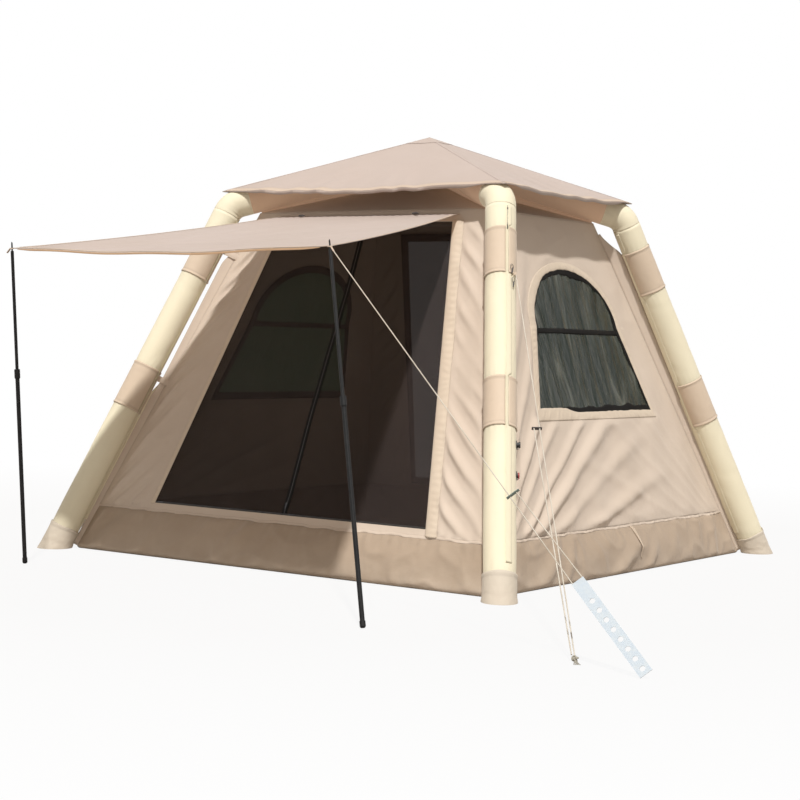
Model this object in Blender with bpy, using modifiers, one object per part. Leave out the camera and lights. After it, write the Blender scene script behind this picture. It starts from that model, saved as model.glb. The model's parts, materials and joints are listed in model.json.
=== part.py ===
"""Inflatable camping tent, built piece by piece.

Four leaning air-beam legs carry four roof beams that meet in a hub under a pyramid
fly sheet. An inner tent of four walls, a roof and a bathtub floor hangs inside them.
The door flap is raised as an awning on two telescopic poles and two guy ropes hold it.
Front is -Y, right is +X, and the middle of the floor is the origin. Units are metres.
"""

import math

import bmesh
import bpy
from mathutils import Matrix, Vector

# Frame of air beams
FOOT_HALF = 1.500
KNEE_HALF_X = 0.9306
KNEE_HALF_Y = 0.6824
KNEE_HEIGHT = 2.010
HUB_HEIGHT = 2.345
ELBOW_RADIUS = 0.120
ELBOW_STEPS = 4
SLEEVE_SEAM_DROP = 0.010
SLEEVE_RADIUS = 0.0825
SLEEVE_WALL = 0.0018
SLEEVE_SIDES = 16
BLADDER_RADIUS = 0.0780
BLADDER_WALL = 0.0012
BLADDER_SIDES = 12
BLADDER_TOE_RADIUS = 0.066
BLADDER_TOE_LENGTH = 0.060
RUNNING_GAP = 0.0003
UP =Vector((0, 0, 1))

# Boots under the legs
BOOT_LENGTH = 0.135
BOOT_WALL = 0.0025
BOOT_FLARE = 0.0030
BOOT_HEM = 0.0012
BOOT_TOE_GAP = 0.0030
BOOT_HEM_WIDTH = 0.012

# Sewn bands round the legs
BAND_LENGTH = 0.272
BAND_GAP = 0.0003
BAND_THICKNESS = 0.0012
BAND_RIDGE = 0.0036
BAND_RIDGE_WIDTH = 0.010
LOWER_BAND_START = 0.900
UPPER_BAND_START = 1.762

# Zips that close the leg sleeves
ZIP_WIDTH = 0.011
ZIP_HEIGHT = 0.0015
ZIP_ROOT = 0.0025
ZIP_BOTTOM = 0.175
ZIP_TOP_MARGIN = 0.015
BAND_SLOT_WIDTH = 0.018
LEG_ZIP_AZIMUTHS = {
    "front_left": 15.0,
    "front_right": -36.0,
    "rear_left": 10.0,
    "rear_right": -125.0,
}
LEG_PULL_PLACE = 2.140

# Hub of the roof beams
HUB_SEAT = 0.145
HUB_RADIUS = 0.165
HUB_SHOULDER_RADIUS = 0.140
HUB_SHOULDER_GAP = 0.0077
HUB_RIM_GAP = 0.0143
HUB_RIM_HEIGHT = 0.055
HUB_BOTTOM_DROP = 0.123
HUB_BOTTOM_RADIUS = 0.120
HUB_TAIL_RADIUS = 0.012
HUB_TAIL_DROP = 0.130
HUB_SOCKET_RADIUS = 0.0837
AIR_CHANNEL_RADIUS = 0.018
PLENUM_RADIUS = 0.045
HUB_STEPS = 24

# Cloth
CLOTH = 0.0020
SEAM_GAP = 0.0004
FLY_BEAM_GAP = 0.0031
FLY_CORNER_REACH = 0.055
FLY_HEM_DROP = 0.016
FLY_CORNER_HEM = 0.003
FLY_CORNER_SHARE = 0.14
FLY_SAG = 0.018
FLY_CELLS = 12
ROOF_DROP = 0.145
ROOF_SAG = 0.010
ROOF_CELLS = 6

# Inner tent
WALL_FOOT_HALF = 1.415
WALL_TOP_HALF_X = 0.790
WALL_TOP_HALF_Y = 0.590
WALL_TOP_HEIGHT = 1.965
TRAY_HEIGHT = 0.250
TRAY_BULGE = 0.022
TRAY_COLUMNS = 14
TRAY_ROWS = 3
TRAY_SOLE_INSET = 0.012
WALL_RINGS = 4
DOOR_WALL_COUNTS = (12, 9, 6, 9)
WINDOW_WALL_COUNTS = (10, 9, 8, 9)
FOLD_DEPTH = 0.011
FOLD_PITCH = 0.420
FOLD_LEAN_DEGREES = 35.0
FOLD_FREE_EDGE = 0.11
FOLD_HELD_STRIP = 0.05
DRAPE_DEPTH = 0.006
DRAPE_PITCH = 0.360
EAR_WIDTH = 0.035
EAR_THICKNESS = 0.0030
EAR_ROOT = 0.0017
EAR_INSET = 0.014
EAR_HEIGHTS = (0.955, 1.700)

# Door and windows
DOOR_BOTTOM = 0.290
DOOR_TOP = 1.900
DOOR_BOTTOM_HALF = 0.925
DOOR_TOP_HALF = 0.590
WINDOW_BOTTOM = 0.870
WINDOW_SHOULDER = 1.350
WINDOW_TOP = 1.675
WINDOW_BOTTOM_HALF = 0.650
WINDOW_SHOULDER_HALF = 0.477
WINDOW_REARWARD = 0.080
ARCH_STEPS = 6
ARCH_SHOULDER_ANGLE = 50.0
WINDOW_BAR_WIDTH = 0.025
WINDOW_BAR_HEIGHT = 1.320
MESH_THICKNESS = 0.0015
SEAM_LAP = 0.016

# Zips of the door
CHAIN_WIDTH = 0.010
CHAIN_GAP = 0.0004
CHAIN_DEPTH = 0.0030
CHAIN_END_GAP = 0.004
CENTRE_PULL_HEIGHT = 0.350
LEFT_PULL_PLACE = -0.870
RIGHT_PULL_PLACE = 0.045
PULL_BODY_WIDTH = 0.009
PULL_BODY_LENGTH = 0.012
PULL_BODY_DEPTH = 0.0034
PULL_TAB_WIDTH = 0.006
PULL_TAB_LENGTH = 0.026
PULL_TAB_DEPTH = 0.0014
PULL_EYE_RADIUS = 0.0018
PULL_BEVEL = 0.0008

# Awning
AWNING_HINGE_HEIGHT = 1.940
AWNING_HINGE_HALF = 0.620
AWNING_CORNER = Vector((1.036, -2.311, 1.666))
AWNING_BEAD_RADIUS = 0.003
AWNING_BEAD_GAP = 0.0004
AWNING_MARGIN = 0.012
AWNING_SAG = 0.024
AWNING_COLUMNS = 10
AWNING_ROWS = 8
GROMMET_HOLE_RADIUS = 0.0066
GROMMET_RADIUS = 0.0125
GROMMET_THICKNESS = 0.0034
GUY_TAB_WIDTH = 0.012
GUY_TAB_THICKNESS = 0.0024
GUY_TAB_REACH = 0.038
GUY_TAB_ROOT = 0.0035
ROPE_TAB_GAP = 0.0008

# Awning poles
RIGHT_POLE_FOOT = Vector((1.507, -2.624, 0.0))
LEFT_POLE_FOOT = Vector((-1.080, -2.130, 0.0))
POLE_FOOT_LIFT = 0.0005
POLE_LOWER_RADIUS = 0.0110
POLE_LOWER_BORE = 0.0088
POLE_LOWER_LENGTH = 1.040
POLE_UPPER_RADIUS = 0.0084
POLE_INSERT = 0.350
POLE_CLAMP_RADIUS = 0.0150
POLE_CLAMP_LENGTH = 0.045
POLE_CLAMP_BORE_GAP = 0.0004
POLE_TIP_RADIUS = 0.0135
POLE_TIP_LENGTH = 0.030
POLE_TIP_FLOOR = 0.006
SPIKE_RADIUS = 0.0040
SPIKE_HEIGHT = 0.034
SPIKE_TIP_LENGTH = 0.008
BALL_RADIUS = 0.00615
BALL_STEPS = 4
NECK_LENGTH = 0.0125
NECK_SHOULDER = 0.0020
POLE_STEPS = 12

# Valves on the front right leg
VALVE_AZIMUTH = 28.0
INFLATE_VALVE_PLACE = 0.820
DEFLATE_VALVE_PLACE = 0.655
VALVE_STEM_RADIUS = 0.0110
VALVE_STEM_INSET = 0.012
VALVE_HOLE_GAP = 0.0005
VALVE_FLANGE_RADIUS = 0.0230
VALVE_FLANGE_THICKNESS = 0.0030
VALVE_NECK_RADIUS = 0.0135
INFLATE_NECK_HEIGHT = 0.0085
DEFLATE_NECK_HEIGHT = 0.0055
VALVE_BORE_RADIUS = 0.0080
CAP_RADIUS = 0.0160
INFLATE_CAP_HEIGHT = 0.0080
DEFLATE_CAP_HEIGHT = 0.0055
CAP_PLUG_RADIUS = 0.0060
CAP_PLUG_DEPTH = 0.0030
CAP_GAP = 0.0004
CAP_CROWN = 0.0020
TETHER_REACH = 0.0210
TETHER_WIDTH = 0.0060
TETHER_THICKNESS = 0.0024
VALVE_STEPS = 20

# Guy ropes
ROPE_RADIUS = 0.0025
LEG_ROPE_RADIUS = 0.0030
ROPE_POINTS = 20
RETURN_POINTS = 12
AWNING_GUY_END = Vector((2.972, -2.827, 0.0200))
STRAP_ACROSS = Vector((-0.646, -0.450, -0.617))
STRAP_LENGTH = 0.485
STRAP_WIDTH = 0.056
STRAP_THICKNESS = 0.0030
STRAP_HOLE_RADIUS = 0.0115
STRAP_HOLE_PITCH = 0.050
STRAP_HOLE_COUNT = 8
STRAP_END_MARGIN = 0.026
STRAP_HOLE_STEPS = 12
STRAND_SPREAD_AT_STRAP = 0.046
STRAND_SPREAD_AT_SLIDER = 0.032
AWNING_SLIDER_PLACE = 0.765
SLIDER_LENGTH = 0.062
SLIDER_WIDTH = 0.018
SLIDER_THICKNESS = 0.0040
SLIDER_HOLE_GAP = 0.0004
SLIDER_BEVEL = 0.0012
LEG_GUY_PLACE = 1.745
LEG_GUY_AZIMUTH = -8.0
LEG_GUY_LUG_REACH = 0.020
LEG_GUY_LUG_WIDTH = 0.016
LEG_GUY_LUG_THICKNESS = 0.0040
LEG_GUY_LUG_ROOT = 0.0020
LUG_SLANT = 0.62
LEG_GUY_END = Vector((2.600, -2.711, 0.0170))
LEG_SLIDER_PLACE = 0.470
LEG_STRAND_SPREAD_TOP = 0.026
LEG_STRAND_SPREAD_BOTTOM = 0.012
LEG_SLIDER_LENGTH = 0.048
LEG_SLIDER_WIDTH = 0.016
KNOT_RADIUS = 0.0160
KNOT_FLAT = 0.0160
TAIL_LENGTH = 0.050
TAIL_NARROW = 0.0060
TAIL_WIDE = 0.0140

LEGS = {
    "front_left": (-1, -1),
    "front_right": (1, -1),
    "rear_left": (-1, 1),
    "rear_right": (1, 1),
}
SIDE_TURNS = {"front": 0.0, "right": 90.0, "rear": 180.0, "left": 270.0}


def clear_scene():
    """Remove everything the scene holds before the tent is built."""
    for item in list(bpy.data.objects):
        bpy.data.objects.remove(item, do_unlink=True)
    for group in list(bpy.data.collections):
        bpy.data.collections.remove(group)


def new_collection(name):
    """A collection linked under the scene."""
    group = bpy.data.collections.new(name)
    bpy.context.scene.collection.children.link(group)
    return group


def new_material(name, colour, roughness, metallic=0.0, alpha=1.0):
    """A Principled material with one colour."""
    made = bpy.data.materials.new(name)
    made.use_nodes = True
    shader = made.node_tree.nodes["Principled BSDF"]
    shader.inputs["Base Color"].default_value = (*colour, 1.0)
    shader.inputs["Roughness"].default_value = roughness
    shader.inputs["Metallic"].default_value = metallic
    shader.inputs["Alpha"].default_value = alpha
    return made


def add_object(name, mesh, material, group):
    """A named object for one piece, shaded smooth with its sharp edges kept."""
    piece = bpy.data.objects.new(name, mesh)
    if material:
        mesh.materials.clear()
        mesh.materials.append(material)
    group.objects.link(piece)
    return piece


def mesh_from(bm, name, smooth=True):
    """Turn a bmesh into a mesh and free it."""
    mesh = bpy.data.meshes.new(name)
    bmesh.ops.recalc_face_normals(bm, faces=bm.faces)
    bm.to_mesh(mesh)
    bm.free()
    if smooth:
        mesh.shade_smooth()
        mesh.set_sharp_from_angle(angle=math.radians(40))
    return mesh


def hide_cutter(piece):
    """Mark a helper that only cuts or joins other pieces."""
    piece.hide_render = True
    piece.display_type = "WIRE"
    return piece


def boolean(piece, tool, operation):
    """Cut or join a piece with a helper."""
    step = piece.modifiers.new(operation.title(), "BOOLEAN")
    step.operation = operation
    step.solver = "EXACT"
    step.object = tool


def solidify(piece, thickness, outward=False):
    """Give an open sheet its thickness, on its inner side unless told otherwise."""
    step = piece.modifiers.new("Wall", "SOLIDIFY")
    step.thickness = thickness
    step.offset = 1.0 if outward else -1.0
    step.use_even_offset = True


def box_object(name, size, matrix, material, group, bevel=0.0):
    """A box of the given size, its middle at the matrix's origin."""
    bm = bmesh.new()
    bmesh.ops.create_cube(bm, size=1.0)
    bmesh.ops.scale(bm, vec=Vector(size), verts=bm.verts)
    if bevel:
        bmesh.ops.bevel(
            bm, geom=list(bm.edges), offset=bevel, segments=2, affect="EDGES",
            profile=0.5, material=-1,
        )
    bmesh.ops.transform(bm, matrix=matrix, verts=bm.verts)
    return add_object(name, mesh_from(bm, name), material, group)


def cylinder_object(name, radius, start, end, steps, material, group):
    """A capped cylinder between two points."""
    axis = end - start
    turn = axis.to_track_quat("Z", "Y").to_matrix().to_4x4()
    bm = bmesh.new()
    bmesh.ops.create_cone(
        bm, cap_ends=True, segments=steps, radius1=radius, radius2=radius, depth=axis.length,
        matrix=Matrix.Translation((start + end) / 2) @ turn,
    )
    return add_object(name, mesh_from(bm, name), material, group)


def turned_object(name, profile, matrix, steps, material, group):
    """A closed profile of (radius, height) pairs, turned about the matrix's Z axis."""
    bm = bmesh.new()
    verts = [bm.verts.new((radius, 0.0, height)) for radius, height in profile]
    pairs = list(zip(verts, verts[1:]))
    if profile[0][0] > 0 and profile[-1][0] > 0:
        pairs.append((verts[-1], verts[0]))
    for first, second in pairs:
        bm.edges.new((first, second))
    mesh = bpy.data.meshes.new(name)
    bm.to_mesh(mesh)
    bm.free()
    piece = add_object(name, mesh, material, group)
    piece.matrix_world = matrix
    turn = piece.modifiers.new("Turn", "SCREW")
    turn.axis = "Z"
    turn.steps = steps
    turn.render_steps = steps
    turn.use_merge_vertices = True
    turn.merge_threshold = 0.00005
    return piece


def flat_object(name, outlines, thickness, matrix, material, group):
    """A flat plate from 2D outlines, the first one solid and the others holes."""
    curve = bpy.data.curves.new(name, "CURVE")
    curve.dimensions = "2D"
    curve.fill_mode = "BOTH"
    curve.extrude = thickness / 2
    for outline in outlines:
        spline = curve.splines.new("POLY")
        spline.points.add(len(outline) - 1)
        for point, (x, y) in zip(spline.points, outline):
            point.co = (x, y, 0.0, 1.0)
        spline.use_cyclic_u = True
    source = bpy.data.objects.new(name + "_outline", curve)
    group.objects.link(source)
    graph = bpy.context.evaluated_depsgraph_get()
    graph.update()
    mesh = bpy.data.meshes.new_from_object(source.evaluated_get(graph))
    bpy.data.objects.remove(source, do_unlink=True)
    bm = bmesh.new()
    bm.from_mesh(mesh)
    bmesh.ops.remove_doubles(bm, verts=bm.verts, dist=0.00001)
    bmesh.ops.transform(bm, matrix=matrix, verts=bm.verts)
    return add_object(name, mesh_from(bm, name, smooth=False), material, group)


def rope_object(name, points, radius, material, group):
    """A rope as a bevelled curve with filled ends."""
    curve = bpy.data.curves.new(name, "CURVE")
    curve.dimensions = "3D"
    curve.bevel_depth = radius
    curve.bevel_resolution = 2
    curve.use_fill_caps = True
    spline = curve.splines.new("POLY")
    spline.points.add(len(points) - 1)
    for point, place in zip(spline.points, points):
        point.co = (*place, 1.0)
    curve.materials.append(material)
    piece = bpy.data.objects.new(name, curve)
    group.objects.link(piece)
    return piece


def ring_matrix(centre, along, side, radius, plane_normal):
    """Where a unit circle goes to be one ring of a tube that is cut by a plane."""
    def slide(direction):
        return direction - along * (direction.dot(plane_normal) / along.dot(plane_normal))

    across = along.cross(side)
    columns = (slide(side) * radius, slide(across) * radius, along, centre)
    matrix = Matrix.Identity(4)
    for index, column in enumerate(columns):
        for row in range(3):
            matrix[row][index] = column[row]
    return matrix


def sweep(path, radii, side, sides, start_normal=None, cap_start=False, cap_end=False):
    """A tube of rings along a path, mitred at each bend, as an open bmesh surface."""
    directions = [(b - a).normalized() for a, b in zip(path, path[1:])]
    bm = bmesh.new()
    made = bmesh.ops.create_circle(bm, cap_ends=cap_start, segments=sides, radius=1.0)
    ring = made["verts"]
    last = Matrix.Identity(4)
    along = directions[0]
    for index, centre in enumerate(path):
        if index == 0:
            normal = start_normal or along
        elif index < len(directions):
            normal = (directions[index - 1] + directions[index]).normalized()
        else:
            normal = along
        here = ring_matrix(centre, along, side, radii[index], normal)
        if index:
            edges = {edge for vert in ring for edge in vert.link_edges}
            edges = [edge for edge in edges if all(vert in ring for vert in edge.verts)]
            grown = bmesh.ops.extrude_edge_only(bm, edges=edges)
            ring = [item for item in grown["geom"] if isinstance(item, bmesh.types.BMVert)]
        bmesh.ops.transform(bm, matrix=here @ last.inverted(), verts=ring)
        last = here
        if 0 < index < len(directions):
            turn = directions[index - 1].rotation_difference(directions[index])
            along = directions[index]
            side = turn @ side
            last = ring_matrix(centre, along, side, radii[index], normal)
    if cap_end:
        bmesh.ops.contextual_create(bm, geom=ring)
    return bm


class Leg:
    """The axis of one leg and its roof beam, and directions round it."""

    def __init__(self, name):
        self.name = name
        sign_x, sign_y = LEGS[name]
        self.foot = Vector((sign_x * FOOT_HALF, sign_y * FOOT_HALF, 0))
        self.knee = Vector((sign_x * KNEE_HALF_X, sign_y * KNEE_HALF_Y, KNEE_HEIGHT))
        self.hub = Vector((0, 0, HUB_HEIGHT))
        self.up = (self.knee - self.foot).normalized()
        self.inward = (self.hub - self.knee).normalized()
        self.side = UP.cross(self.up).normalized()
        bend = self.up.angle(self.inward)
        self.tangent = ELBOW_RADIUS * math.tan(bend / 2)
        self.length = (self.knee - self.foot).length - self.tangent
        self.bend = bend

    def at(self, place):
        """The point of the leg's axis at a distance from the ground along it."""
        return self.foot + self.up * place

    def radial(self, azimuth):
        """The direction out of the leg at a compass angle, square to the leg."""
        angle = math.radians(azimuth)
        level = Vector((math.cos(angle), math.sin(angle), 0))
        return (level - self.up * level.dot(self.up)).normalized()

    def frame(self, place, azimuth):
        """X across, Y out of the leg, Z up the leg, at the leg's axis."""
        out = self.radial(azimuth)
        across = out.cross(self.up)
        matrix = Matrix((across, out, self.up)).transposed().to_4x4()
        return Matrix.Translation(self.at(place)) @ matrix

    def ring_frame(self, place):
        """The frame whose X and Y meet the corners of the sleeve's rings."""
        matrix = Matrix((self.side, self.up.cross(self.side), self.up)).transposed().to_4x4()
        return Matrix.Translation(self.at(place)) @ matrix

    def elbow(self):
        """Points of the rounded elbow, from the leg to the roof beam."""
        start = self.at(self.length)
        middle = start + self._to_elbow_centre() * ELBOW_RADIUS
        axis = self.up.cross(self.inward).normalized()
        arm = start - middle
        points = []
        for step in range(ELBOW_STEPS + 1):
            turn = Matrix.Rotation(self.bend * step / ELBOW_STEPS, 3, axis)
            points.append(middle + turn @ arm)
        return points

    def _to_elbow_centre(self):
        axis = self.up.cross(self.inward).normalized()
        return axis.cross(self.up).normalized()

    def beam_end(self):
        """Where the roof beam stops in the hub's socket."""
        return self.hub - self.inward * (HUB_SEAT + RUNNING_GAP)


class Side:
    """The sloping plane of one wall of the inner tent."""

    def __init__(self, name):
        self.name = name
        front_or_rear = name in ("front", "rear")
        self.top_half = WALL_TOP_HALF_X if front_or_rear else WALL_TOP_HALF_Y
        top_depth = WALL_TOP_HALF_Y if front_or_rear else WALL_TOP_HALF_X
        self.slope = (WALL_FOOT_HALF - top_depth) / WALL_TOP_HEIGHT
        self.stretch = math.sqrt(1 + self.slope**2)
        self.edge_inset = 0.0 if front_or_rear else (CLOTH + SEAM_GAP) * self.corner_stretch()
        turn = Matrix.Rotation(math.radians(SIDE_TURNS[name]), 4, "Z")
        along = Vector((1, 0, 0))
        upward = Vector((0, self.slope, 1)).normalized()
        outward = along.cross(upward)
        plane = Matrix((along, upward, outward)).transposed().to_4x4()
        self.matrix = turn @ Matrix.Translation((0, -WALL_FOOT_HALF, 0)) @ plane

    def corner_stretch(self):
        """How much wider a sheet is along the ground than across its slope."""
        other = (WALL_FOOT_HALF - WALL_TOP_HALF_Y) / WALL_TOP_HEIGHT
        return math.sqrt(1 + other**2)

    def half_width(self, height):
        """Half the wall's width at a height above the ground."""
        rise = height / WALL_TOP_HEIGHT
        return WALL_FOOT_HALF + (self.top_half - WALL_FOOT_HALF) * rise - self.edge_inset

    def point(self, along, height, out=0.0):
        """A world point from a place along the wall, a height and a distance outwards."""
        lift = height - out * self.matrix.to_3x3().col[2].z
        return self.matrix @ Vector((along, lift * self.stretch, out))

    def local(self, along, height):
        """Flat coordinates of a point in the wall's own plane."""
        return (along, height * self.stretch)

    def placed(self, along, height, out=0.0, turn=0.0):
        """A frame on the wall: X along it, Y up its slope, Z out of it."""
        spot = self.matrix @ Vector((along, height * self.stretch, out))
        basis = self.matrix.to_3x3().to_4x4() @ Matrix.Rotation(math.radians(turn), 4, "Z")
        return Matrix.Translation(spot) @ basis


def smooth_step(value, width):
    """0 at or below zero, 1 from width on, and smooth between."""
    share = min(max(value / width, 0.0), 1.0)
    return share * share * (3 - 2 * share)


def door_outline(side, margin):
    """The door's trapezium in the wall's plane, grown by a margin."""
    corners = door_corners(margin)
    return [side.local(along, height) for along, height in corners]


def door_corners(margin):
    """The door's four corners as places along the wall and heights, grown by a margin."""
    bottom_half = DOOR_BOTTOM_HALF + margin
    top_half = DOOR_TOP_HALF + margin
    bottom = DOOR_BOTTOM - margin
    top = DOOR_TOP + margin
    return [(-bottom_half, bottom), (bottom_half, bottom), (top_half, top), (-top_half, top)]


def window_outline(side, margin):
    """The window's leaning sides and arched top, grown by a margin."""
    return [side.local(*point) for run in window_runs(side, margin) for point in run[:-1]]


def window_runs(side, margin):
    """The window's bottom, right, top and left edges as runs of points, grown by a margin."""
    centre = window_centre(side)
    shoulder_half = WINDOW_SHOULDER_HALF + margin
    bottom_half = WINDOW_BOTTOM_HALF + margin
    bottom = WINDOW_BOTTOM - margin
    arch_rise = WINDOW_TOP - WINDOW_SHOULDER + margin

    def arch(first, last):
        angles = [first + (last - first) * step / ARCH_STEPS for step in range(ARCH_STEPS + 1)]
        return [
            (
                centre + shoulder_half * math.cos(math.radians(angle)),
                WINDOW_SHOULDER + arch_rise * math.sin(math.radians(angle)),
            )
            for angle in angles
        ]

    low_left = (centre - bottom_half, bottom)
    low_right = (centre + bottom_half, bottom)
    return [
        [low_left, low_right],
        [low_right] + arch(0.0, ARCH_SHOULDER_ANGLE),
        arch(ARCH_SHOULDER_ANGLE, 180.0 - ARCH_SHOULDER_ANGLE),
        arch(180.0 - ARCH_SHOULDER_ANGLE, 180.0) + [low_left],
    ]


def even_points(run, count):
    """Points spaced evenly along a run of straight pieces, without its last point."""
    lengths = [math.dist(a, b) for a, b in zip(run, run[1:])]
    points = []
    for index in range(count):
        left = sum(lengths) * index / count
        piece = 0
        while left > lengths[piece]:
            left -= lengths[piece]
            piece += 1
        share = left / lengths[piece]
        (x1, y1), (x2, y2) = run[piece], run[piece + 1]
        points.append((x1 + (x2 - x1) * share, y1 + (y2 - y1) * share))
    return points


def opening_ring(side, margin, counts):
    """Points round the wall's door or window, edge by edge."""
    if side.name in ("front", "rear"):
        corners = door_corners(margin)
        runs = [[a, b] for a, b in zip(corners, corners[1:] + corners[:1])]
    else:
        runs = window_runs(side, margin)
    return [point for run, count in zip(runs, counts) for point in even_points(run, count)]


def edge_ring(side, bottom, top, counts):
    """Points round the wall's outer edge, matching the ones round its opening."""
    low = side.half_width(bottom)
    high = side.half_width(top)
    corners = [(-low, bottom), (low, bottom), (high, top), (-high, top)]
    runs = [[a, b] for a, b in zip(corners, corners[1:] + corners[:1])]
    return [point for run, count in zip(runs, counts) for point in even_points(run, count)]


def window_centre(side):
    """The window sits a little behind the middle of its wall."""
    return WINDOW_REARWARD if side.name == "right" else -WINDOW_REARWARD


def wall_fold(side, along, height):
    """How far the cloth stands out of its plane, in slanting folds and soft drapes."""
    lean = math.radians(FOLD_LEAN_DEGREES)
    towards_rear = along if side.name in ("front", "right") else -along
    slant = (towards_rear * math.sin(lean) - height * math.cos(lean)) / FOLD_PITCH
    low = smooth_step(WINDOW_SHOULDER - height, WINDOW_SHOULDER - TRAY_HEIGHT)
    fold = FOLD_DEPTH * low * math.sin(2 * math.pi * slant)
    drape = DRAPE_DEPTH * math.sin(2 * math.pi * (along - height * side.slope) / DRAPE_PITCH)
    return fold + drape


def build_wall(name, side_name, material, tent, cutters):
    """One wall of the inner tent: rings of cloth round its door or window."""
    side = Side(side_name)
    bottom = TRAY_HEIGHT + SEAM_GAP + CLOTH / 2
    top = WALL_TOP_HEIGHT - SEAM_GAP
    counts = DOOR_WALL_COUNTS if side_name in ("front", "rear") else WINDOW_WALL_COUNTS
    opening = opening_ring(side, 0.0, counts)
    seam = opening_ring(side, SEAM_LAP + CLOTH, counts)
    edge = edge_ring(side, bottom, top, counts)
    rings = [opening, seam]
    for step in range(1, WALL_RINGS + 1):
        share = step / WALL_RINGS
        rings.append([
            (x1 + (x2 - x1) * share, y1 + (y2 - y1) * share)
            for (x1, y1), (x2, y2) in zip(seam, edge)
        ])
    bm = bmesh.new()
    made = bmesh.ops.create_circle(bm, cap_ends=False, segments=len(opening), radius=1.0)
    ring = list(made["verts"])
    for level, points in enumerate(rings):
        if level:
            edges = [e for e in bm.edges if all(vert in ring for vert in e.verts)]
            grown = bmesh.ops.extrude_edge_only(bm, edges=edges)
            fresh = {item for item in grown["geom"] if isinstance(item, bmesh.types.BMVert)}
            ring = [next(e.other_vert(v) for e in v.link_edges if e.other_vert(v) in fresh) for v in ring]
        held = level < 2 or level == len(rings) - 1
        for vert, inner, outer, (along, height) in zip(ring, seam, edge, points):
            loose = smooth_step(math.dist(inner, outer) - FOLD_HELD_STRIP, FOLD_FREE_EDGE)
            loose *= smooth_step(side.half_width(height) - abs(along), FOLD_FREE_EDGE)
            loose *= smooth_step(height - TRAY_HEIGHT, FOLD_HELD_STRIP)
            loose *= smooth_step(WALL_TOP_HEIGHT - FOLD_HELD_STRIP - height, FOLD_HELD_STRIP)
            out = 0.0 if held else wall_fold(side, along, height) * loose
            vert.co = side.point(along, height, out)
    mesh = mesh_from(bm, name)
    wall = add_object(name, mesh, material, tent)
    if side.matrix.to_3x3().col[2].dot(mesh.polygons[0].normal) < 0:
        mesh.flip_normals()
    solidify(wall, CLOTH)
    if side_name in ("front", "rear"):
        add_ears(wall, side, cutters)
    return wall


def add_ears(wall, side, cutters):
    """Webbing ears that tie a wall's corners to the bands of the legs."""
    for name, (sign_x, sign_y) in LEGS.items():
        if sign_y != (-1 if side.name == "front" else 1):
            continue
        leg = Leg(name)
        for height in EAR_HEIGHTS:
            half = side.half_width(height)
            depth = WALL_FOOT_HALF - side.slope * height
            root = Vector((sign_x * (half - EAR_INSET), sign_y * depth, height))
            axis_point = leg.at((root - leg.foot).dot(leg.up))
            away = (axis_point - root).normalized()
            reach = (axis_point - root).length - band_outer_radius() - RUNNING_GAP
            start = root - away * EAR_ROOT
            length = reach + EAR_ROOT
            across = leg.up.cross(away).normalized()
            basis = Matrix((away, across, leg.up)).transposed().to_4x4()
            place = Matrix.Translation(start + away * (length / 2)) @ basis
            ear = box_object(
                f"{wall.name}_ear_{name}_{int(height * 1000)}", (length, EAR_THICKNESS, EAR_WIDTH),
                place, None, cutters,
            )
            boolean(wall, hide_cutter(ear), "UNION")


def band_outer_radius():
    """The radius of a band between its ridges, at a corner of its rings."""
    return SLEEVE_RADIUS + BAND_GAP + BAND_THICKNESS


def build_tray(material, tent):
    """The bathtub floor with its raised, slightly bulging sides."""
    bm = bmesh.new()
    bmesh.ops.create_grid(bm, x_segments=1, y_segments=1, size=1.0)
    bmesh.ops.subdivide_edges(bm, edges=bm.edges, cuts=TRAY_COLUMNS - 1)
    ring = list(bm.verts)
    front = Side("front")
    flank = Side("right")

    def place(vert, share_x, share_y, height, inset):
        bulge = TRAY_BULGE * math.sin(math.pi * min(height / TRAY_HEIGHT, 1.0))
        half_x = WALL_FOOT_HALF - flank.slope * height - inset
        half_y = WALL_FOOT_HALF - front.slope * height - inset
        vert.co.x = share_x * (half_x + bulge * (1 - share_y**2) * (abs(share_x) > 0.999))
        vert.co.y = share_y * (half_y + bulge * (1 - share_x**2) * (abs(share_y) > 0.999))
        vert.co.z = height

    shares = {vert: (vert.co.x, vert.co.y) for vert in ring}
    for vert in ring:
        place(vert, *shares[vert], 0.0, TRAY_SOLE_INSET)
    heights = [TRAY_SOLE_INSET] + [TRAY_HEIGHT * (row + 1) / TRAY_ROWS for row in range(TRAY_ROWS)]
    for height in heights:
        known = {vert: vert.co.copy() for vert in ring}
        edges = [edge for edge in bm.edges if all(v in known for v in edge.verts)]
        grown = bmesh.ops.extrude_edge_only(bm, edges=edges)
        new_ring = [item for item in grown["geom"] if isinstance(item, bmesh.types.BMVert)]
        new_shares = {}
        for vert in new_ring:
            below = next(e.other_vert(vert) for e in vert.link_edges if e.other_vert(vert) in known)
            new_shares[vert] = shares[below]
        for vert in new_ring:
            place(vert, *new_shares[vert], height, 0.0)
        ring, shares = new_ring, new_shares
    mesh = mesh_from(bm, "floor_tray")
    tray = add_object("floor_tray", mesh, material, tent)
    lowest = min(mesh.polygons, key=lambda face: face.center.z)
    if lowest.normal.z > 0:
        mesh.flip_normals()
    solidify(tray, CLOTH)
    return tray


def pyramid_sheet(cells):
    """A four-sided sheet whose ridges run along the diagonals of a grid."""
    bm = bmesh.new()
    bmesh.ops.create_grid(bm, x_segments=cells, y_segments=cells, size=1.0)
    for face in list(bm.faces):
        middle = face.calc_center_median()
        if abs(abs(middle.x) - abs(middle.y)) < 1e-4:
            ends = sorted(face.verts, key=lambda vert: abs(vert.co.x) + abs(vert.co.y))
            bmesh.utils.face_split(face, ends[0], ends[-1])
    return bm


def share_along(u, v):
    """How far out a point is, and how near it lies to a ridge."""
    out = max(abs(u), abs(v))
    near_ridge = min(abs(u), abs(v)) / out if out else 1.0
    return out, near_ridge


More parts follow.
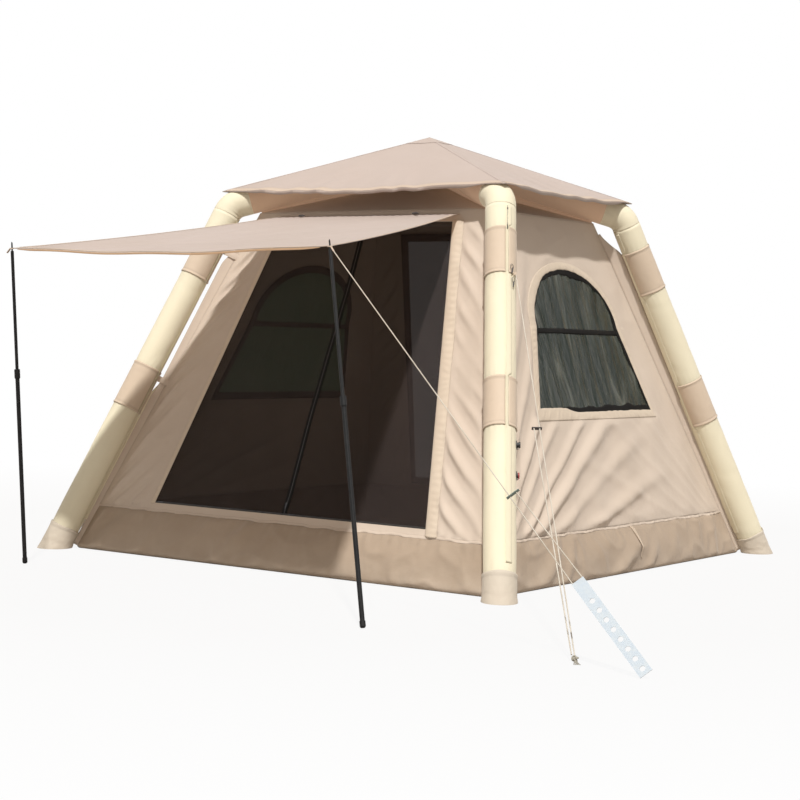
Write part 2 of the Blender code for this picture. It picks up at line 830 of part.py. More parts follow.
def fly_slope():
    """The steepest slope of the fly sheet, down its front and rear."""
    return (HUB_HEIGHT - KNEE_HEIGHT) / min(KNEE_HALF_X, KNEE_HALF_Y)


def fly_lift():
    """How far the fly's apex is above the hub's middle, so that its slopes clear the beams."""
    return (SLEEVE_RADIUS + FLY_BEAM_GAP) * math.sqrt(1 + fly_slope() ** 2)


def build_fly(material, tent):
    """The pyramid fly sheet over the roof beams, with a turned-down hem."""
    plan = math.hypot(KNEE_HALF_X, KNEE_HALF_Y)
    reach = (plan + FLY_CORNER_REACH) / plan
    drop = (HUB_HEIGHT - KNEE_HEIGHT) * reach
    apex = HUB_HEIGHT + fly_lift()
    bm = pyramid_sheet(FLY_CELLS)
    for vert in bm.verts:
        out, near_ridge = share_along(vert.co.x, vert.co.y)
        sag = FLY_SAG * out * (1 - near_ridge**2) ** 2
        vert.co = Vector((
            vert.co.x * KNEE_HALF_X * reach,
            vert.co.y * KNEE_HALF_Y * reach,
            apex - drop * out - sag,
        ))
    rim = [edge for edge in bm.edges if edge.is_boundary]
    grown = bmesh.ops.extrude_edge_only(bm, edges=rim)
    for item in grown["geom"]:
        if isinstance(item, bmesh.types.BMVert):
            u = item.co.x / (KNEE_HALF_X * reach)
            v = item.co.y / (KNEE_HALF_Y * reach)
            free = smooth_step(1 - share_along(u, v)[1] - FLY_CORNER_SHARE, FLY_CORNER_SHARE)
            item.co.z -= FLY_CORNER_HEM + (FLY_HEM_DROP - FLY_CORNER_HEM) * free
    mesh = mesh_from(bm, "fly_roof")
    top = max(mesh.polygons, key=lambda face: face.center.z)
    if top.normal.z < 0:
        mesh.flip_normals()
    fly = add_object("fly_roof", mesh, material, tent)
    solidify(fly, CLOTH, outward=True)
    return fly


def build_inner_roof(material, tent):
    """The low roof of the inner tent under the beams."""
    apex = HUB_HEIGHT - ROOF_DROP - CLOTH
    bm = pyramid_sheet(ROOF_CELLS)
    for vert in bm.verts:
        out, near_ridge = share_along(vert.co.x, vert.co.y)
        sag = ROOF_SAG * 4 * out * (1 - out) * (1 - near_ridge**2)
        height = apex - (apex - WALL_TOP_HEIGHT) * out - sag
        vert.co = Vector((vert.co.x * WALL_TOP_HALF_X, vert.co.y * WALL_TOP_HALF_Y, height))
    mesh = mesh_from(bm, "inner_roof")
    top = max(mesh.polygons, key=lambda face: face.center.z)
    if top.normal.z < 0:
        mesh.flip_normals()
    roof = add_object("inner_roof", mesh, material, tent)
    solidify(roof, CLOTH, outward=True)
    return roof


def build_leg(name, materials, tent, cutters):
    """One leg: its boot, sleeve with a zip, two bands, air bladder and roof-beam sleeve."""
    leg = Leg(name)
    elbow = leg.elbow()
    azimuth = LEG_ZIP_AZIMUTHS[name]

    sole = leg.foot
    boot_radius = SLEEVE_RADIUS + RUNNING_GAP + BOOT_WALL
    hem_place = BOOT_LENGTH - BOOT_HEM_WIDTH
    stops = (0.0, BOOT_LENGTH / 2, hem_place, hem_place, BOOT_LENGTH)
    radii = (
        boot_radius + BOOT_FLARE, boot_radius, boot_radius, boot_radius + BOOT_HEM,
        boot_radius + BOOT_HEM,
    )
    path = [leg.at(stop + index * 1e-4) for index, stop in enumerate(stops)]
    path[0] = sole
    bm = sweep(path, radii, leg.side, SLEEVE_SIDES, start_normal=UP, cap_start=True)
    mesh = mesh_from(bm, f"boot_{name}")
    if min(mesh.polygons, key=lambda face: face.center.z).normal.z > 0:
        mesh.flip_normals()
    boot = add_object(f"boot_{name}", mesh, materials["boot"], tent)
    solidify(boot, BOOT_WALL)

    rest = (BOOT_WALL + BOOT_TOE_GAP) / leg.up.z
    seam = leg.length - SLEEVE_SEAM_DROP
    path = [leg.at(rest), leg.at(leg.length / 2), leg.at(seam - RUNNING_GAP)]
    bm = sweep(path, [SLEEVE_RADIUS] * 3, leg.side, SLEEVE_SIDES, start_normal=UP)
    sleeve = tube_object(f"leg_sleeve_{name}", bm, SLEEVE_WALL, leg, materials["sleeve"], tent)
    zip_length = seam - ZIP_TOP_MARGIN - ZIP_BOTTOM
    frame = leg.frame(ZIP_BOTTOM + zip_length / 2, azimuth)
    depth = ZIP_HEIGHT + ZIP_ROOT
    out = SLEEVE_RADIUS + ZIP_HEIGHT - depth / 2
    rib = box_object(
        f"zip_rib_{name}", (ZIP_WIDTH, depth, zip_length),
        frame @ Matrix.Translation((0, out, 0)), None, cutters,
    )
    boolean(sleeve, hide_cutter(rib), "UNION")

    stops = [leg.at(rest + RUNNING_GAP), leg.at(rest + BLADDER_TOE_LENGTH)]
    path = stops + elbow + [leg.beam_end()]
    radii = [BLADDER_TOE_RADIUS] + [BLADDER_RADIUS] * (len(path) - 1)
    bm = sweep(path, radii, leg.side, BLADDER_SIDES, start_normal=UP, cap_start=True)
    bladder = tube_object(f"air_bladder_{name}", bm, BLADDER_WALL, leg, materials["bladder"], tent)

    path = [leg.at(seam)] + elbow + [leg.beam_end()]
    bm = sweep(path, [SLEEVE_RADIUS] * len(path), leg.side, SLEEVE_SIDES)
    tube_object(f"roof_beam_sleeve_{name}", bm, SLEEVE_WALL, leg, materials["sleeve"], tent)

    inner = SLEEVE_RADIUS + BAND_GAP
    outer = inner + BAND_THICKNESS
    crest = inner + BAND_RIDGE
    profile = [
        (inner, BAND_LENGTH),
        (outer, BAND_LENGTH),
        (crest, BAND_LENGTH - BAND_RIDGE_WIDTH / 2),
        (outer, BAND_LENGTH - BAND_RIDGE_WIDTH),
        (outer, BAND_RIDGE_WIDTH),
        (crest, BAND_RIDGE_WIDTH / 2),
        (outer, 0.0),
        (inner, 0.0),
    ]
    for level, start in (("lower", LOWER_BAND_START), ("upper", UPPER_BAND_START)):
        band = turned_object(
            f"{level}_band_{name}", profile, leg.ring_frame(start), SLEEVE_SIDES,
            materials["band"], tent,
        )
        slot_frame = leg.frame(start + BAND_LENGTH / 2, azimuth)
        slot = box_object(
            f"{level}_band_slot_{name}", (BAND_SLOT_WIDTH, SLEEVE_RADIUS, BAND_LENGTH * 1.2),
            slot_frame @ Matrix.Translation((0, SLEEVE_RADIUS, 0)), None, cutters,
        )
        boolean(band, hide_cutter(slot), "DIFFERENCE")
        if level == "upper" and name == "front_right":
            add_guy_lug(band, leg, cutters)
    return sleeve, bladder


def tube_object(name, bm, wall, leg, material, tent):
    """A swept surface as a hollow piece, its wall on the inside."""
    mesh = mesh_from(bm, name)
    face = max(mesh.polygons, key=lambda item: item.area)
    nearest = leg.foot + leg.up * (face.center - leg.foot).dot(leg.up)
    beam_point = leg.hub - leg.inward * (leg.hub - face.center).dot(leg.inward)
    if (face.center - beam_point).length < (face.center - nearest).length:
        nearest = beam_point
    if face.normal.dot(face.center - nearest) < 0:
        mesh.flip_normals()
    piece = add_object(name, mesh, material, tent)
    solidify(piece, wall)
    return piece


def add_guy_lug(band, leg, cutters):
    """A webbing lug on the upper band that the leg's guy rope is tied to."""
    frame = leg.frame(LEG_GUY_PLACE, LEG_GUY_AZIMUTH)
    start = SLEEVE_RADIUS + BAND_GAP + LEG_GUY_LUG_ROOT / 4
    length = LEG_GUY_LUG_REACH
    place = frame @ Matrix.Translation((0, start + length / 2, LEG_GUY_LUG_WIDTH))
    lug = box_object(
        "leg_guy_lug", (LEG_GUY_LUG_THICKNESS, length, LEG_GUY_LUG_WIDTH), place, None, cutters
    )
    boolean(band, hide_cutter(lug), "UNION")


def build_hub(material, tent, cutters):
    """The manifold hub: four scalloped seats for the beams, joined by air channels."""
    apex = fly_lift() - RUNNING_GAP
    rim = apex - fly_slope() * HUB_RADIUS - HUB_RIM_GAP
    profile = [
        (0.0, apex),
        (HUB_SHOULDER_RADIUS, apex - fly_slope() * HUB_SHOULDER_RADIUS - HUB_SHOULDER_GAP),
        (HUB_RADIUS, rim),
        (HUB_RADIUS, rim - HUB_RIM_HEIGHT),
        (HUB_BOTTOM_RADIUS, -HUB_BOTTOM_DROP),
        (HUB_TAIL_RADIUS, -HUB_TAIL_DROP),
        (HUB_TAIL_RADIUS, RUNNING_GAP - ROOF_DROP),
        (0.0, RUNNING_GAP - ROOF_DROP),
    ]
    hub = turned_object(
        "roof_hub", profile, Matrix.Translation((0, 0, HUB_HEIGHT)), HUB_STEPS, material, tent
    )
    for name in LEGS:
        leg = Leg(name)
        seat = leg.hub - leg.inward * HUB_SEAT
        far = leg.hub - leg.inward * (HUB_RADIUS * 2)
        socket = cylinder_object(
            f"hub_socket_{name}", HUB_SOCKET_RADIUS, seat, far, HUB_STEPS, None, cutters
        )
        boolean(hub, hide_cutter(socket), "DIFFERENCE")
    bm = bmesh.new()
    bmesh.ops.create_uvsphere(bm, u_segments=HUB_STEPS // 2, v_segments=6, radius=PLENUM_RADIUS)
    bmesh.ops.transform(bm, matrix=Matrix.Translation((0, 0, HUB_HEIGHT)), verts=bm.verts)
    plenum = add_object("hub_plenum", mesh_from(bm, "hub_plenum"), None, cutters)
    boolean(hub, hide_cutter(plenum), "DIFFERENCE")
    for name in LEGS:
        leg = Leg(name)
        far = leg.hub - leg.inward * (HUB_SEAT * 1.1)
        start = leg.hub - leg.inward * (PLENUM_RADIUS / 2)
        channel = cylinder_object(
            f"hub_channel_{name}", AIR_CHANNEL_RADIUS, start, far, VALVE_STEPS // 2, None, cutters
        )
        boolean(hub, hide_cutter(channel), "DIFFERENCE")
    return hub


def build_mesh_panels(materials, tent, cutters):
    """The see-through mesh panels behind the door, rear door and windows."""
    out = -CLOTH - SEAM_GAP - MESH_THICKNESS / 2
    front = Side("front")
    halves = door_outline(front, SEAM_LAP)
    bottom_left, bottom_right, top_right, top_left = halves
    middle = CHAIN_WIDTH / 2 + CHAIN_GAP
    low, high = bottom_left[1], top_left[1]
    place = front.matrix @ Matrix.Translation((0, 0, out))
    for name, outline in (
        ("front_door_mesh_left", [bottom_left, (-middle, low), (-middle, high), top_left]),
        ("front_door_mesh_right", [(middle, low), bottom_right, top_right, (middle, high)]),
    ):
        flat_object(name, [outline], MESH_THICKNESS, place, materials["mesh"], tent)
    rear = Side("rear")
    place = rear.matrix @ Matrix.Translation((0, 0, out))
    flat_object(
        "rear_door_mesh", [door_outline(rear, SEAM_LAP)], MESH_THICKNESS, place, materials["mesh"], tent
    )
    for name in ("left", "right"):
        side = Side(name)
        place = side.matrix @ Matrix.Translation((0, 0, out))
        panel = flat_object(
            f"{name}_window_mesh", [window_outline(side, SEAM_LAP)], MESH_THICKNESS, place,
            materials["mesh"], tent,
        )
        bar_size = (WINDOW_SHOULDER_HALF * 1.9, WINDOW_BAR_WIDTH, MESH_THICKNESS)
        lift = out + MESH_THICKNESS * 0.9
        bar = box_object(
            f"{name}_window_bar", bar_size,
            side.placed(window_centre(side), WINDOW_BAR_HEIGHT, lift), None, cutters,
        )
        boolean(panel, hide_cutter(bar), "UNION")


def build_door_zips(materials, tent, cutters):
    """The door's centre and bottom zip chains and their three pulls."""
    front = Side("front")
    mesh_face = -CLOTH - SEAM_GAP
    low = DOOR_BOTTOM + CHAIN_GAP
    bottom_middle = low + CHAIN_WIDTH / 2 / front.stretch
    bottom_out = mesh_face + CHAIN_GAP + CHAIN_DEPTH / 2
    half = DOOR_BOTTOM_HALF - CHAIN_END_GAP * 2
    box_object(
        "door_bottom_zip", (half * 2, CHAIN_WIDTH, CHAIN_DEPTH),
        front.placed(0.0, bottom_middle, bottom_out), materials["zip"], tent,
    )
    start = low + (CHAIN_WIDTH + CHAIN_GAP) / front.stretch
    length = (DOOR_TOP - CHAIN_GAP - start) * front.stretch
    centre_out = mesh_face - MESH_THICKNESS + CHAIN_DEPTH / 2
    box_object(
        "door_centre_zip", (CHAIN_WIDTH, length, CHAIN_DEPTH),
        front.placed(0.0, start, centre_out) @ Matrix.Translation((0, length / 2, 0)),
        materials["zip"], tent,
    )
    front_of_bottom = bottom_out + CHAIN_DEPTH / 2 + RUNNING_GAP
    front_of_centre = centre_out + CHAIN_DEPTH / 2 + RUNNING_GAP
    lift = front_of_bottom - front_of_centre
    pull = zip_pull("door_centre_pull", front.placed(0.0, CENTRE_PULL_HEIGHT, front_of_centre), lift)
    finish_pull(pull, materials["hardware"], tent, cutters)
    for name, along, turn in (
        ("door_bottom_left_pull", LEFT_PULL_PLACE, -90.0),
        ("door_bottom_right_pull", RIGHT_PULL_PLACE, 90.0),
    ):
        pull = zip_pull(name, front.placed(along, bottom_middle, front_of_bottom, turn), 0.0)
        finish_pull(pull, materials["hardware"], tent, cutters)


def zip_pull(name, matrix, tab_lift):
    """The sizes and places of a zip slider, its hanging tab and the tab's eye."""
    body = Matrix.Translation((0, 0, PULL_BODY_DEPTH / 2))
    tab_middle = -PULL_BODY_LENGTH / 2 - PULL_TAB_LENGTH / 2 + PULL_BEVEL * 3
    tab_out = max(PULL_BODY_DEPTH / 2, tab_lift + PULL_TAB_DEPTH / 2)
    tab = Matrix.Translation((0, tab_middle, tab_out))
    eye = Matrix.Translation((0, tab_middle - PULL_TAB_LENGTH / 3, tab_out))
    return name, matrix @ body, matrix @ tab, matrix @ eye


def finish_pull(pull, material, tent, cutters):
    """Join a zip slider's body and tab, and cut the eye."""
    name, body, tab, eye = pull
    size = (PULL_BODY_WIDTH, PULL_BODY_LENGTH, PULL_BODY_DEPTH)
    slider = box_object(name, size, body, material, tent, bevel=PULL_BEVEL)
    tab_size = (PULL_TAB_WIDTH, PULL_TAB_LENGTH, PULL_TAB_DEPTH)
    tongue = box_object(name + "_tab", tab_size, tab, None, cutters)
    boolean(slider, hide_cutter(tongue), "UNION")
    axis = eye.to_3x3().col[2] * PULL_TAB_DEPTH
    middle = eye.translation
    hole = cylinder_object(name + "_eye", PULL_EYE_RADIUS, middle - axis, middle + axis, 8, None, cutters)
    boolean(slider, hide_cutter(hole), "DIFFERENCE")


def build_leg_pull(material, tent, cutters):
    """The slider of the front right leg's zip."""
    leg = Leg("front_right")
    frame = leg.frame(LEG_PULL_PLACE, LEG_ZIP_AZIMUTHS["front_right"])
    out = SLEEVE_RADIUS + ZIP_HEIGHT + RUNNING_GAP
    turn = Matrix.Rotation(math.radians(-90), 4, "X")
    place = frame @ Matrix.Translation((0, out, 0)) @ turn @ Matrix.Rotation(math.pi, 4, "Z")
    finish_pull(zip_pull("leg_zip_pull", place, 0.0), material, tent, cutters)


def awning_frame():
    """X along the hinge, Y out along the raised flap, Z up out of it."""
    front = Side("front")
    depth = WALL_FOOT_HALF - front.slope * AWNING_HINGE_HEIGHT
    normal = front.matrix.to_3x3().col[2]
    hinge = Vector((0, -depth, AWNING_HINGE_HEIGHT)) + normal * (AWNING_BEAD_RADIUS + AWNING_BEAD_GAP)
    corner = Vector((0, AWNING_CORNER.y, AWNING_CORNER.z))
    outward = (corner - hinge).normalized()
    across = Vector((1, 0, 0))
    upward = across.cross(outward)
    basis = Matrix((-across, outward, -upward)).transposed().to_4x4()
    return Matrix.Translation(hinge) @ basis, (corner - hinge).length


def build_awning(material, tent, cutters):
    """The raised door flap: a sagging sheet, a hinge bead, grommets and guy tabs."""
    frame, length = awning_frame()
    half_outer = AWNING_CORNER.x
    bm = bmesh.new()
    bmesh.ops.create_grid(bm, x_segments=AWNING_COLUMNS, y_segments=AWNING_ROWS, size=1.0)
    margin = AWNING_MARGIN
    for vert in bm.verts:
        share = (vert.co.y + 1) / 2
        half = AWNING_HINGE_HALF + (half_outer + margin - AWNING_HINGE_HALF) * share
        sag = AWNING_SAG * share * (1 - vert.co.x**2) + AWNING_SAG * math.sin(math.pi * share) / 2
        held = smooth_step(1 - share, 0.1) + smooth_step(share - 0.9, 0.1) * (1 - vert.co.x**2)
        along = vert.co.x * half
        out = share * (length + margin)
        vert.co = frame @ Vector((along, out, -sag * min(held, 1.0) * smooth_step(share, 0.15)))
    mesh = mesh_from(bm, "awning")
    if mesh.polygons[0].normal.z < 0:
        mesh.flip_normals()
    awning = add_object("awning", mesh, material, tent)
    thick = awning.modifiers.new("Wall", "SOLIDIFY")
    thick.thickness = CLOTH
    thick.offset = 0.0
    thick.use_even_offset = True
    hinge = frame.translation
    reach = Vector((AWNING_HINGE_HALF, 0, 0))
    bead = cylinder_object(
        "awning_bead", AWNING_BEAD_RADIUS, hinge - reach, hinge + reach, 8, None, cutters
    )
    boolean(awning, hide_cutter(bead), "UNION")
    normal = frame.to_3x3().col[2]
    for sign in (-1, 1):
        corner = Vector((sign * AWNING_CORNER.x, AWNING_CORNER.y, AWNING_CORNER.z))
        step = normal * (GROMMET_THICKNESS / 2)
        ring = cylinder_object(
            f"awning_grommet_{sign}", GROMMET_RADIUS, corner - step, corner + step,
            POLE_STEPS, None, cutters,
        )
        boolean(awning, hide_cutter(ring), "UNION")
        rope_way = awning_guy_direction()
        rope_way.x *= sign
        level = (rope_way - normal * rope_way.dot(normal)).normalized()
        start = corner + level * (GROMMET_RADIUS - GUY_TAB_ROOT)
        end = corner + rope_way * GUY_TAB_REACH
        away = (end - start).normalized()
        across = away.cross(Vector((0, 1, 0))).normalized()
        upright = across.cross(away).normalized()
        basis = Matrix((away, upright, across)).transposed().to_4x4()
        size = ((end - start).length, GUY_TAB_WIDTH, GUY_TAB_THICKNESS)
        tab = box_object(
            f"awning_guy_tab_{sign}", size, Matrix.Translation((start + end) / 2) @ basis, None, cutters
        )
        boolean(awning, hide_cutter(tab), "UNION")
        hole = cylinder_object(
            f"awning_eyelet_{sign}", GROMMET_HOLE_RADIUS, corner - step * 6, corner + step * 6,
            SLEEVE_SIDES, None, cutters,
        )
        boolean(awning, hide_cutter(hole), "DIFFERENCE")
    return awning


def awning_guy_direction():
    """The straight line of the awning's guy rope, from the corner to the ground."""
    return (AWNING_GUY_END - AWNING_CORNER).normalized()


def build_pole(name, top, foot, material, tent):
    """A telescopic pole: a lower tube with a clamp and tip, and an upper tube with a spike."""
    down = (foot - top).normalized()
    length = (foot - top).length
    lean = down.angle(-UP)
    lift = (POLE_TIP_RADIUS * math.sin(lean) + POLE_FOOT_LIFT) / math.cos(lean)
    stand = foot - down * lift
    frame = Matrix.Translation(stand) @ (-down).to_track_quat("Z", "Y").to_matrix().to_4x4()
    clamp_start = POLE_LOWER_LENGTH - POLE_CLAMP_LENGTH
    lower_profile = [
        (0.0, POLE_TIP_FLOOR),
        (POLE_LOWER_BORE, POLE_TIP_FLOOR),
        (POLE_LOWER_BORE, POLE_LOWER_LENGTH),
        (POLE_CLAMP_RADIUS, POLE_LOWER_LENGTH),
        (POLE_CLAMP_RADIUS, clamp_start),
        (POLE_LOWER_RADIUS, clamp_start - POLE_LOWER_RADIUS / 2),
        (POLE_LOWER_RADIUS, POLE_TIP_LENGTH),
        (POLE_TIP_RADIUS, POLE_TIP_LENGTH),
        (POLE_TIP_RADIUS, POLE_TIP_FLOOR),
        (POLE_TIP_RADIUS * 0.7, 0.0),
        (0.0, 0.0),
    ]
    turned_object(f"{name}_lower", lower_profile, frame, POLE_STEPS, material, tent)
    upper_start = POLE_LOWER_LENGTH - POLE_INSERT
    reach = length - lift
    upper_profile = [(0.0, reach + SPIKE_HEIGHT)]
    upper_profile.append((SPIKE_RADIUS * 0.3, reach + SPIKE_HEIGHT))
    upper_profile.append((SPIKE_RADIUS, reach + SPIKE_HEIGHT - SPIKE_TIP_LENGTH))
    neck_angle = math.asin(SPIKE_RADIUS / BALL_RADIUS)
    for step in range(BALL_STEPS + 1):
        angle = neck_angle + (math.pi - 2 * neck_angle) * step / BALL_STEPS
        upper_profile.append((BALL_RADIUS * math.sin(angle), reach + BALL_RADIUS * math.cos(angle)))
    upper_profile.append((SPIKE_RADIUS, reach - NECK_LENGTH))
    upper_profile.append((POLE_UPPER_RADIUS, reach - NECK_LENGTH - NECK_SHOULDER))
    upper_profile.append((POLE_UPPER_RADIUS, upper_start))
    upper_profile.append((0.0, upper_start))
    turned_object(f"{name}_upper", upper_profile, frame, POLE_STEPS, material, tent)


def build_valve(name, place, neck, cap_height, leg_pieces, materials, tent, cutters):
    """A screwed-in air valve through the leg, with its cap on a tether."""
    leg = Leg("front_right")
    frame = leg.frame(place, VALVE_AZIMUTH) @ Matrix.Rotation(math.radians(-90), 4, "X")
    skin = SLEEVE_RADIUS + RUNNING_GAP
    flange_top = skin + VALVE_FLANGE_THICKNESS
    neck_top = flange_top + neck
    body_profile = [
        (VALVE_BORE_RADIUS, neck_top),
        (VALVE_NECK_RADIUS, neck_top),
        (VALVE_NECK_RADIUS, flange_top),
        (VALVE_FLANGE_RADIUS, flange_top),
        (VALVE_FLANGE_RADIUS, skin),
        (VALVE_STEM_RADIUS, skin),
        (VALVE_STEM_RADIUS, SLEEVE_RADIUS - VALVE_STEM_INSET),
        (VALVE_BORE_RADIUS, SLEEVE_RADIUS - VALVE_STEM_INSET),
    ]
    body = turned_object(
        f"{name}_valve", body_profile, frame, VALVE_STEPS, materials["valve"], tent
    )
    post_height = neck_top - CAP_GAP * 2 - flange_top
    post = box_object(
        f"{name}_post", (TETHER_WIDTH, TETHER_THICKNESS, post_height + VALVE_FLANGE_THICKNESS / 2),
        frame @ Matrix.Translation(
            (0, TETHER_REACH, flange_top + (post_height - VALVE_FLANGE_THICKNESS / 2) / 2)
        ),
        None, cutters,
    )
    boolean(body, hide_cutter(post), "UNION")
    cap_bottom = neck_top + CAP_GAP
    cap_profile = [
        (0.0, cap_bottom + cap_height),
        (CAP_RADIUS - CAP_CROWN, cap_bottom + cap_height),
        (CAP_RADIUS, cap_bottom + cap_height - CAP_CROWN),
        (CAP_RADIUS, cap_bottom),
        (CAP_PLUG_RADIUS, cap_bottom),
        (CAP_PLUG_RADIUS, cap_bottom - CAP_PLUG_DEPTH),
        (0.0, cap_bottom - CAP_PLUG_DEPTH),
    ]
    cap = turned_object(f"{name}_cap", cap_profile, frame, VALVE_STEPS, materials[f"{name}_cap"], tent)
    reach = TETHER_REACH + TETHER_THICKNESS / 2 - CAP_RADIUS / 2
    tether = box_object(
        f"{name}_tether", (TETHER_WIDTH, reach, TETHER_THICKNESS),
        frame @ Matrix.Translation((0, CAP_RADIUS / 2 + reach / 2, cap_bottom + TETHER_THICKNESS / 2)),
        None, cutters,
    )
    boolean(cap, hide_cutter(tether), "UNION")
    out = leg.radial(VALVE_AZIMUTH)
    middle = leg.at(place)
    hole = cylinder_object(
        f"{name}_valve_hole", VALVE_STEM_RADIUS + VALVE_HOLE_GAP, middle + out * SLEEVE_RADIUS / 2,
        middle + out * SLEEVE_RADIUS * 1.3, VALVE_STEPS, None, cutters,
    )
    hide_cutter(hole)
    for piece in leg_pieces:
        boolean(piece, hole, "DIFFERENCE")


def line_points(start, end, count):
    """Evenly spaced points of a taut rope."""
    return [start.lerp(end, index / (count - 1)) for index in range(count)]


def rope_slider(name, middle, along, across, spread, length, width, radius, material, tent, cutters):
    """A flat line slider with one hole for each strand."""
    normal = along.cross(across).normalized()
    basis = Matrix((across, normal, along)).transposed().to_4x4()
    body = box_object(
        name, (length, width, SLIDER_THICKNESS), Matrix.Translation(middle) @ basis, material, tent,
        bevel=SLIDER_BEVEL,
    )
    for index, offset in enumerate((-spread / 2, spread / 2)):
        centre = middle + across * offset
        step = along * SLIDER_THICKNESS * 2
        hole = cylinder_object(
            f"{name}_hole_{index}", radius + SLIDER_HOLE_GAP, centre - step, centre + step,
            POLE_STEPS, None, cutters,
        )
        boolean(body, hide_cutter(hole), "DIFFERENCE")
    return body


def build_awning_guy(materials, tent, cutters):
    """The awning's guy rope, its return strand, slider and ladder strap."""
    along = awning_guy_direction()
    across = STRAP_ACROSS - along * STRAP_ACROSS.dot(along)
    across.normalize()
    normal = along.cross(across)
    head = AWNING_GUY_END - along * STRAP_LENGTH
    basis = Matrix((across, along, normal)).transposed().to_4x4()
    half = STRAP_WIDTH / 2
    plate = [(-half, 0.0), (half, 0.0), (half, STRAP_LENGTH), (-half, STRAP_LENGTH)]
    outlines = [plate]
    for index in range(STRAP_HOLE_COUNT):
        middle = STRAP_LENGTH - STRAP_END_MARGIN - index * STRAP_HOLE_PITCH
        outlines.append([
            (
                STRAP_HOLE_RADIUS * math.cos(2 * math.pi * step / STRAP_HOLE_STEPS),
                middle + STRAP_HOLE_RADIUS * math.sin(2 * math.pi * step / STRAP_HOLE_STEPS),
            )
            for step in range(STRAP_HOLE_STEPS)
        ])
    flat_object(
        "ladder_strap", outlines, STRAP_THICKNESS, Matrix.Translation(head) @ basis,
        materials["strap"], tent,
    )
    rope_end = head - along * RUNNING_GAP
    main_foot = rope_end + across * STRAND_SPREAD_AT_STRAP / 2
    return_foot = rope_end - across * STRAND_SPREAD_AT_STRAP / 2
    top = AWNING_CORNER + along * (GUY_TAB_REACH + ROPE_TAB_GAP)
    rope_object(
        "awning_guy_rope", line_points(top, main_foot, ROPE_POINTS), ROPE_RADIUS,
        materials["rope"], tent,
    )
    main = (main_foot - top).normalized()
    slider_point = top + main * ((main_foot - top).length * AWNING_SLIDER_PLACE)
    middle = slider_point - across * STRAND_SPREAD_AT_SLIDER / 2
    rope_slider(
        "awning_guy_slider", middle, main, across, STRAND_SPREAD_AT_SLIDER, SLIDER_LENGTH,
        SLIDER_WIDTH, ROPE_RADIUS, materials["slider"], tent, cutters,
    )
    return_top = slider_point - across * STRAND_SPREAD_AT_SLIDER + main * (
        SLIDER_THICKNESS / 2 + RUNNING_GAP
    )
    rope_object(
        "awning_guy_return", line_points(return_top, return_foot, RETURN_POINTS), ROPE_RADIUS,
        materials["rope"], tent,
    )


def build_leg_guy(materials, tent, cutters):
    """The front right leg's guy rope, its return strand, slider and end knot."""
    leg = Leg("front_right")
    out = SLEEVE_RADIUS + BAND_GAP + LEG_GUY_LUG_REACH - LEG_ROPE_RADIUS
    frame = leg.frame(LEG_GUY_PLACE, LEG_GUY_AZIMUTH)
    lug_foot = frame @ Vector((0, out, LEG_GUY_LUG_WIDTH / 2))
    along = (LEG_GUY_END - lug_foot).normalized()
    top = lug_foot + along * (RUNNING_GAP + LEG_ROPE_RADIUS * LUG_SLANT)
    across = along.cross(UP).normalized()
    rope_foot = LEG_GUY_END - along * (KNOT_RADIUS + RUNNING_GAP)
    rope_object(
        "leg_guy_rope", line_points(top, rope_foot, ROPE_POINTS), LEG_ROPE_RADIUS,
        materials["rope"], tent,
    )
    slider_point = top + along * ((rope_foot - top).length * LEG_SLIDER_PLACE)
    middle = slider_point + across * LEG_STRAND_SPREAD_TOP / 2
    rope_slider(
        "leg_guy_slider", middle, along, across, LEG_STRAND_SPREAD_TOP, LEG_SLIDER_LENGTH,
        LEG_SLIDER_WIDTH, LEG_ROPE_RADIUS, materials["toggle"], tent, cutters,
    )
    return_top = slider_point + across * LEG_STRAND_SPREAD_TOP + along * (
        SLIDER_THICKNESS / 2 + RUNNING_GAP
    )
    return_foot = rope_foot + across * LEG_STRAND_SPREAD_BOTTOM - along * KNOT_RADIUS * 0.35
    rope_object(
        "leg_guy_return", line_points(return_top, return_foot, RETURN_POINTS), LEG_ROPE_RADIUS,
        materials["rope"], tent,
    )
    bm = bmesh.new()
    bmesh.ops.create_uvsphere(bm, u_segments=10, v_segments=6, radius=KNOT_RADIUS)
    bmesh.ops.transform(bm, matrix=Matrix.Translation(LEG_GUY_END), verts=bm.verts)
    knot = add_object("leg_guy_knot", mesh_from(bm, "leg_guy_knot"), materials["knot"], tent)
    level = Vector((along.x, along.y, 0)).normalized()
    bm = bmesh.new()
    tail_start = Vector((LEG_GUY_END.x, LEG_GUY_END.y, TAIL_WIDE)) + level * KNOT_RADIUS * 0.4
    tail_end = tail_start + level * TAIL_LENGTH
    turn = level.to_track_quat("Z", "Y").to_matrix().to_4x4()
    place = Matrix.Translation((tail_start + tail_end) / 2) @ turn
    bmesh.ops.create_cone(
        bm, cap_ends=True, segments=8, radius1=TAIL_NARROW, radius2=TAIL_WIDE, depth=TAIL_LENGTH,
        matrix=place,
    )
    tail = add_object("leg_guy_tail", mesh_from(bm, "leg_guy_tail"), None, cutters)
    boolean(knot, hide_cutter(tail), "UNION")


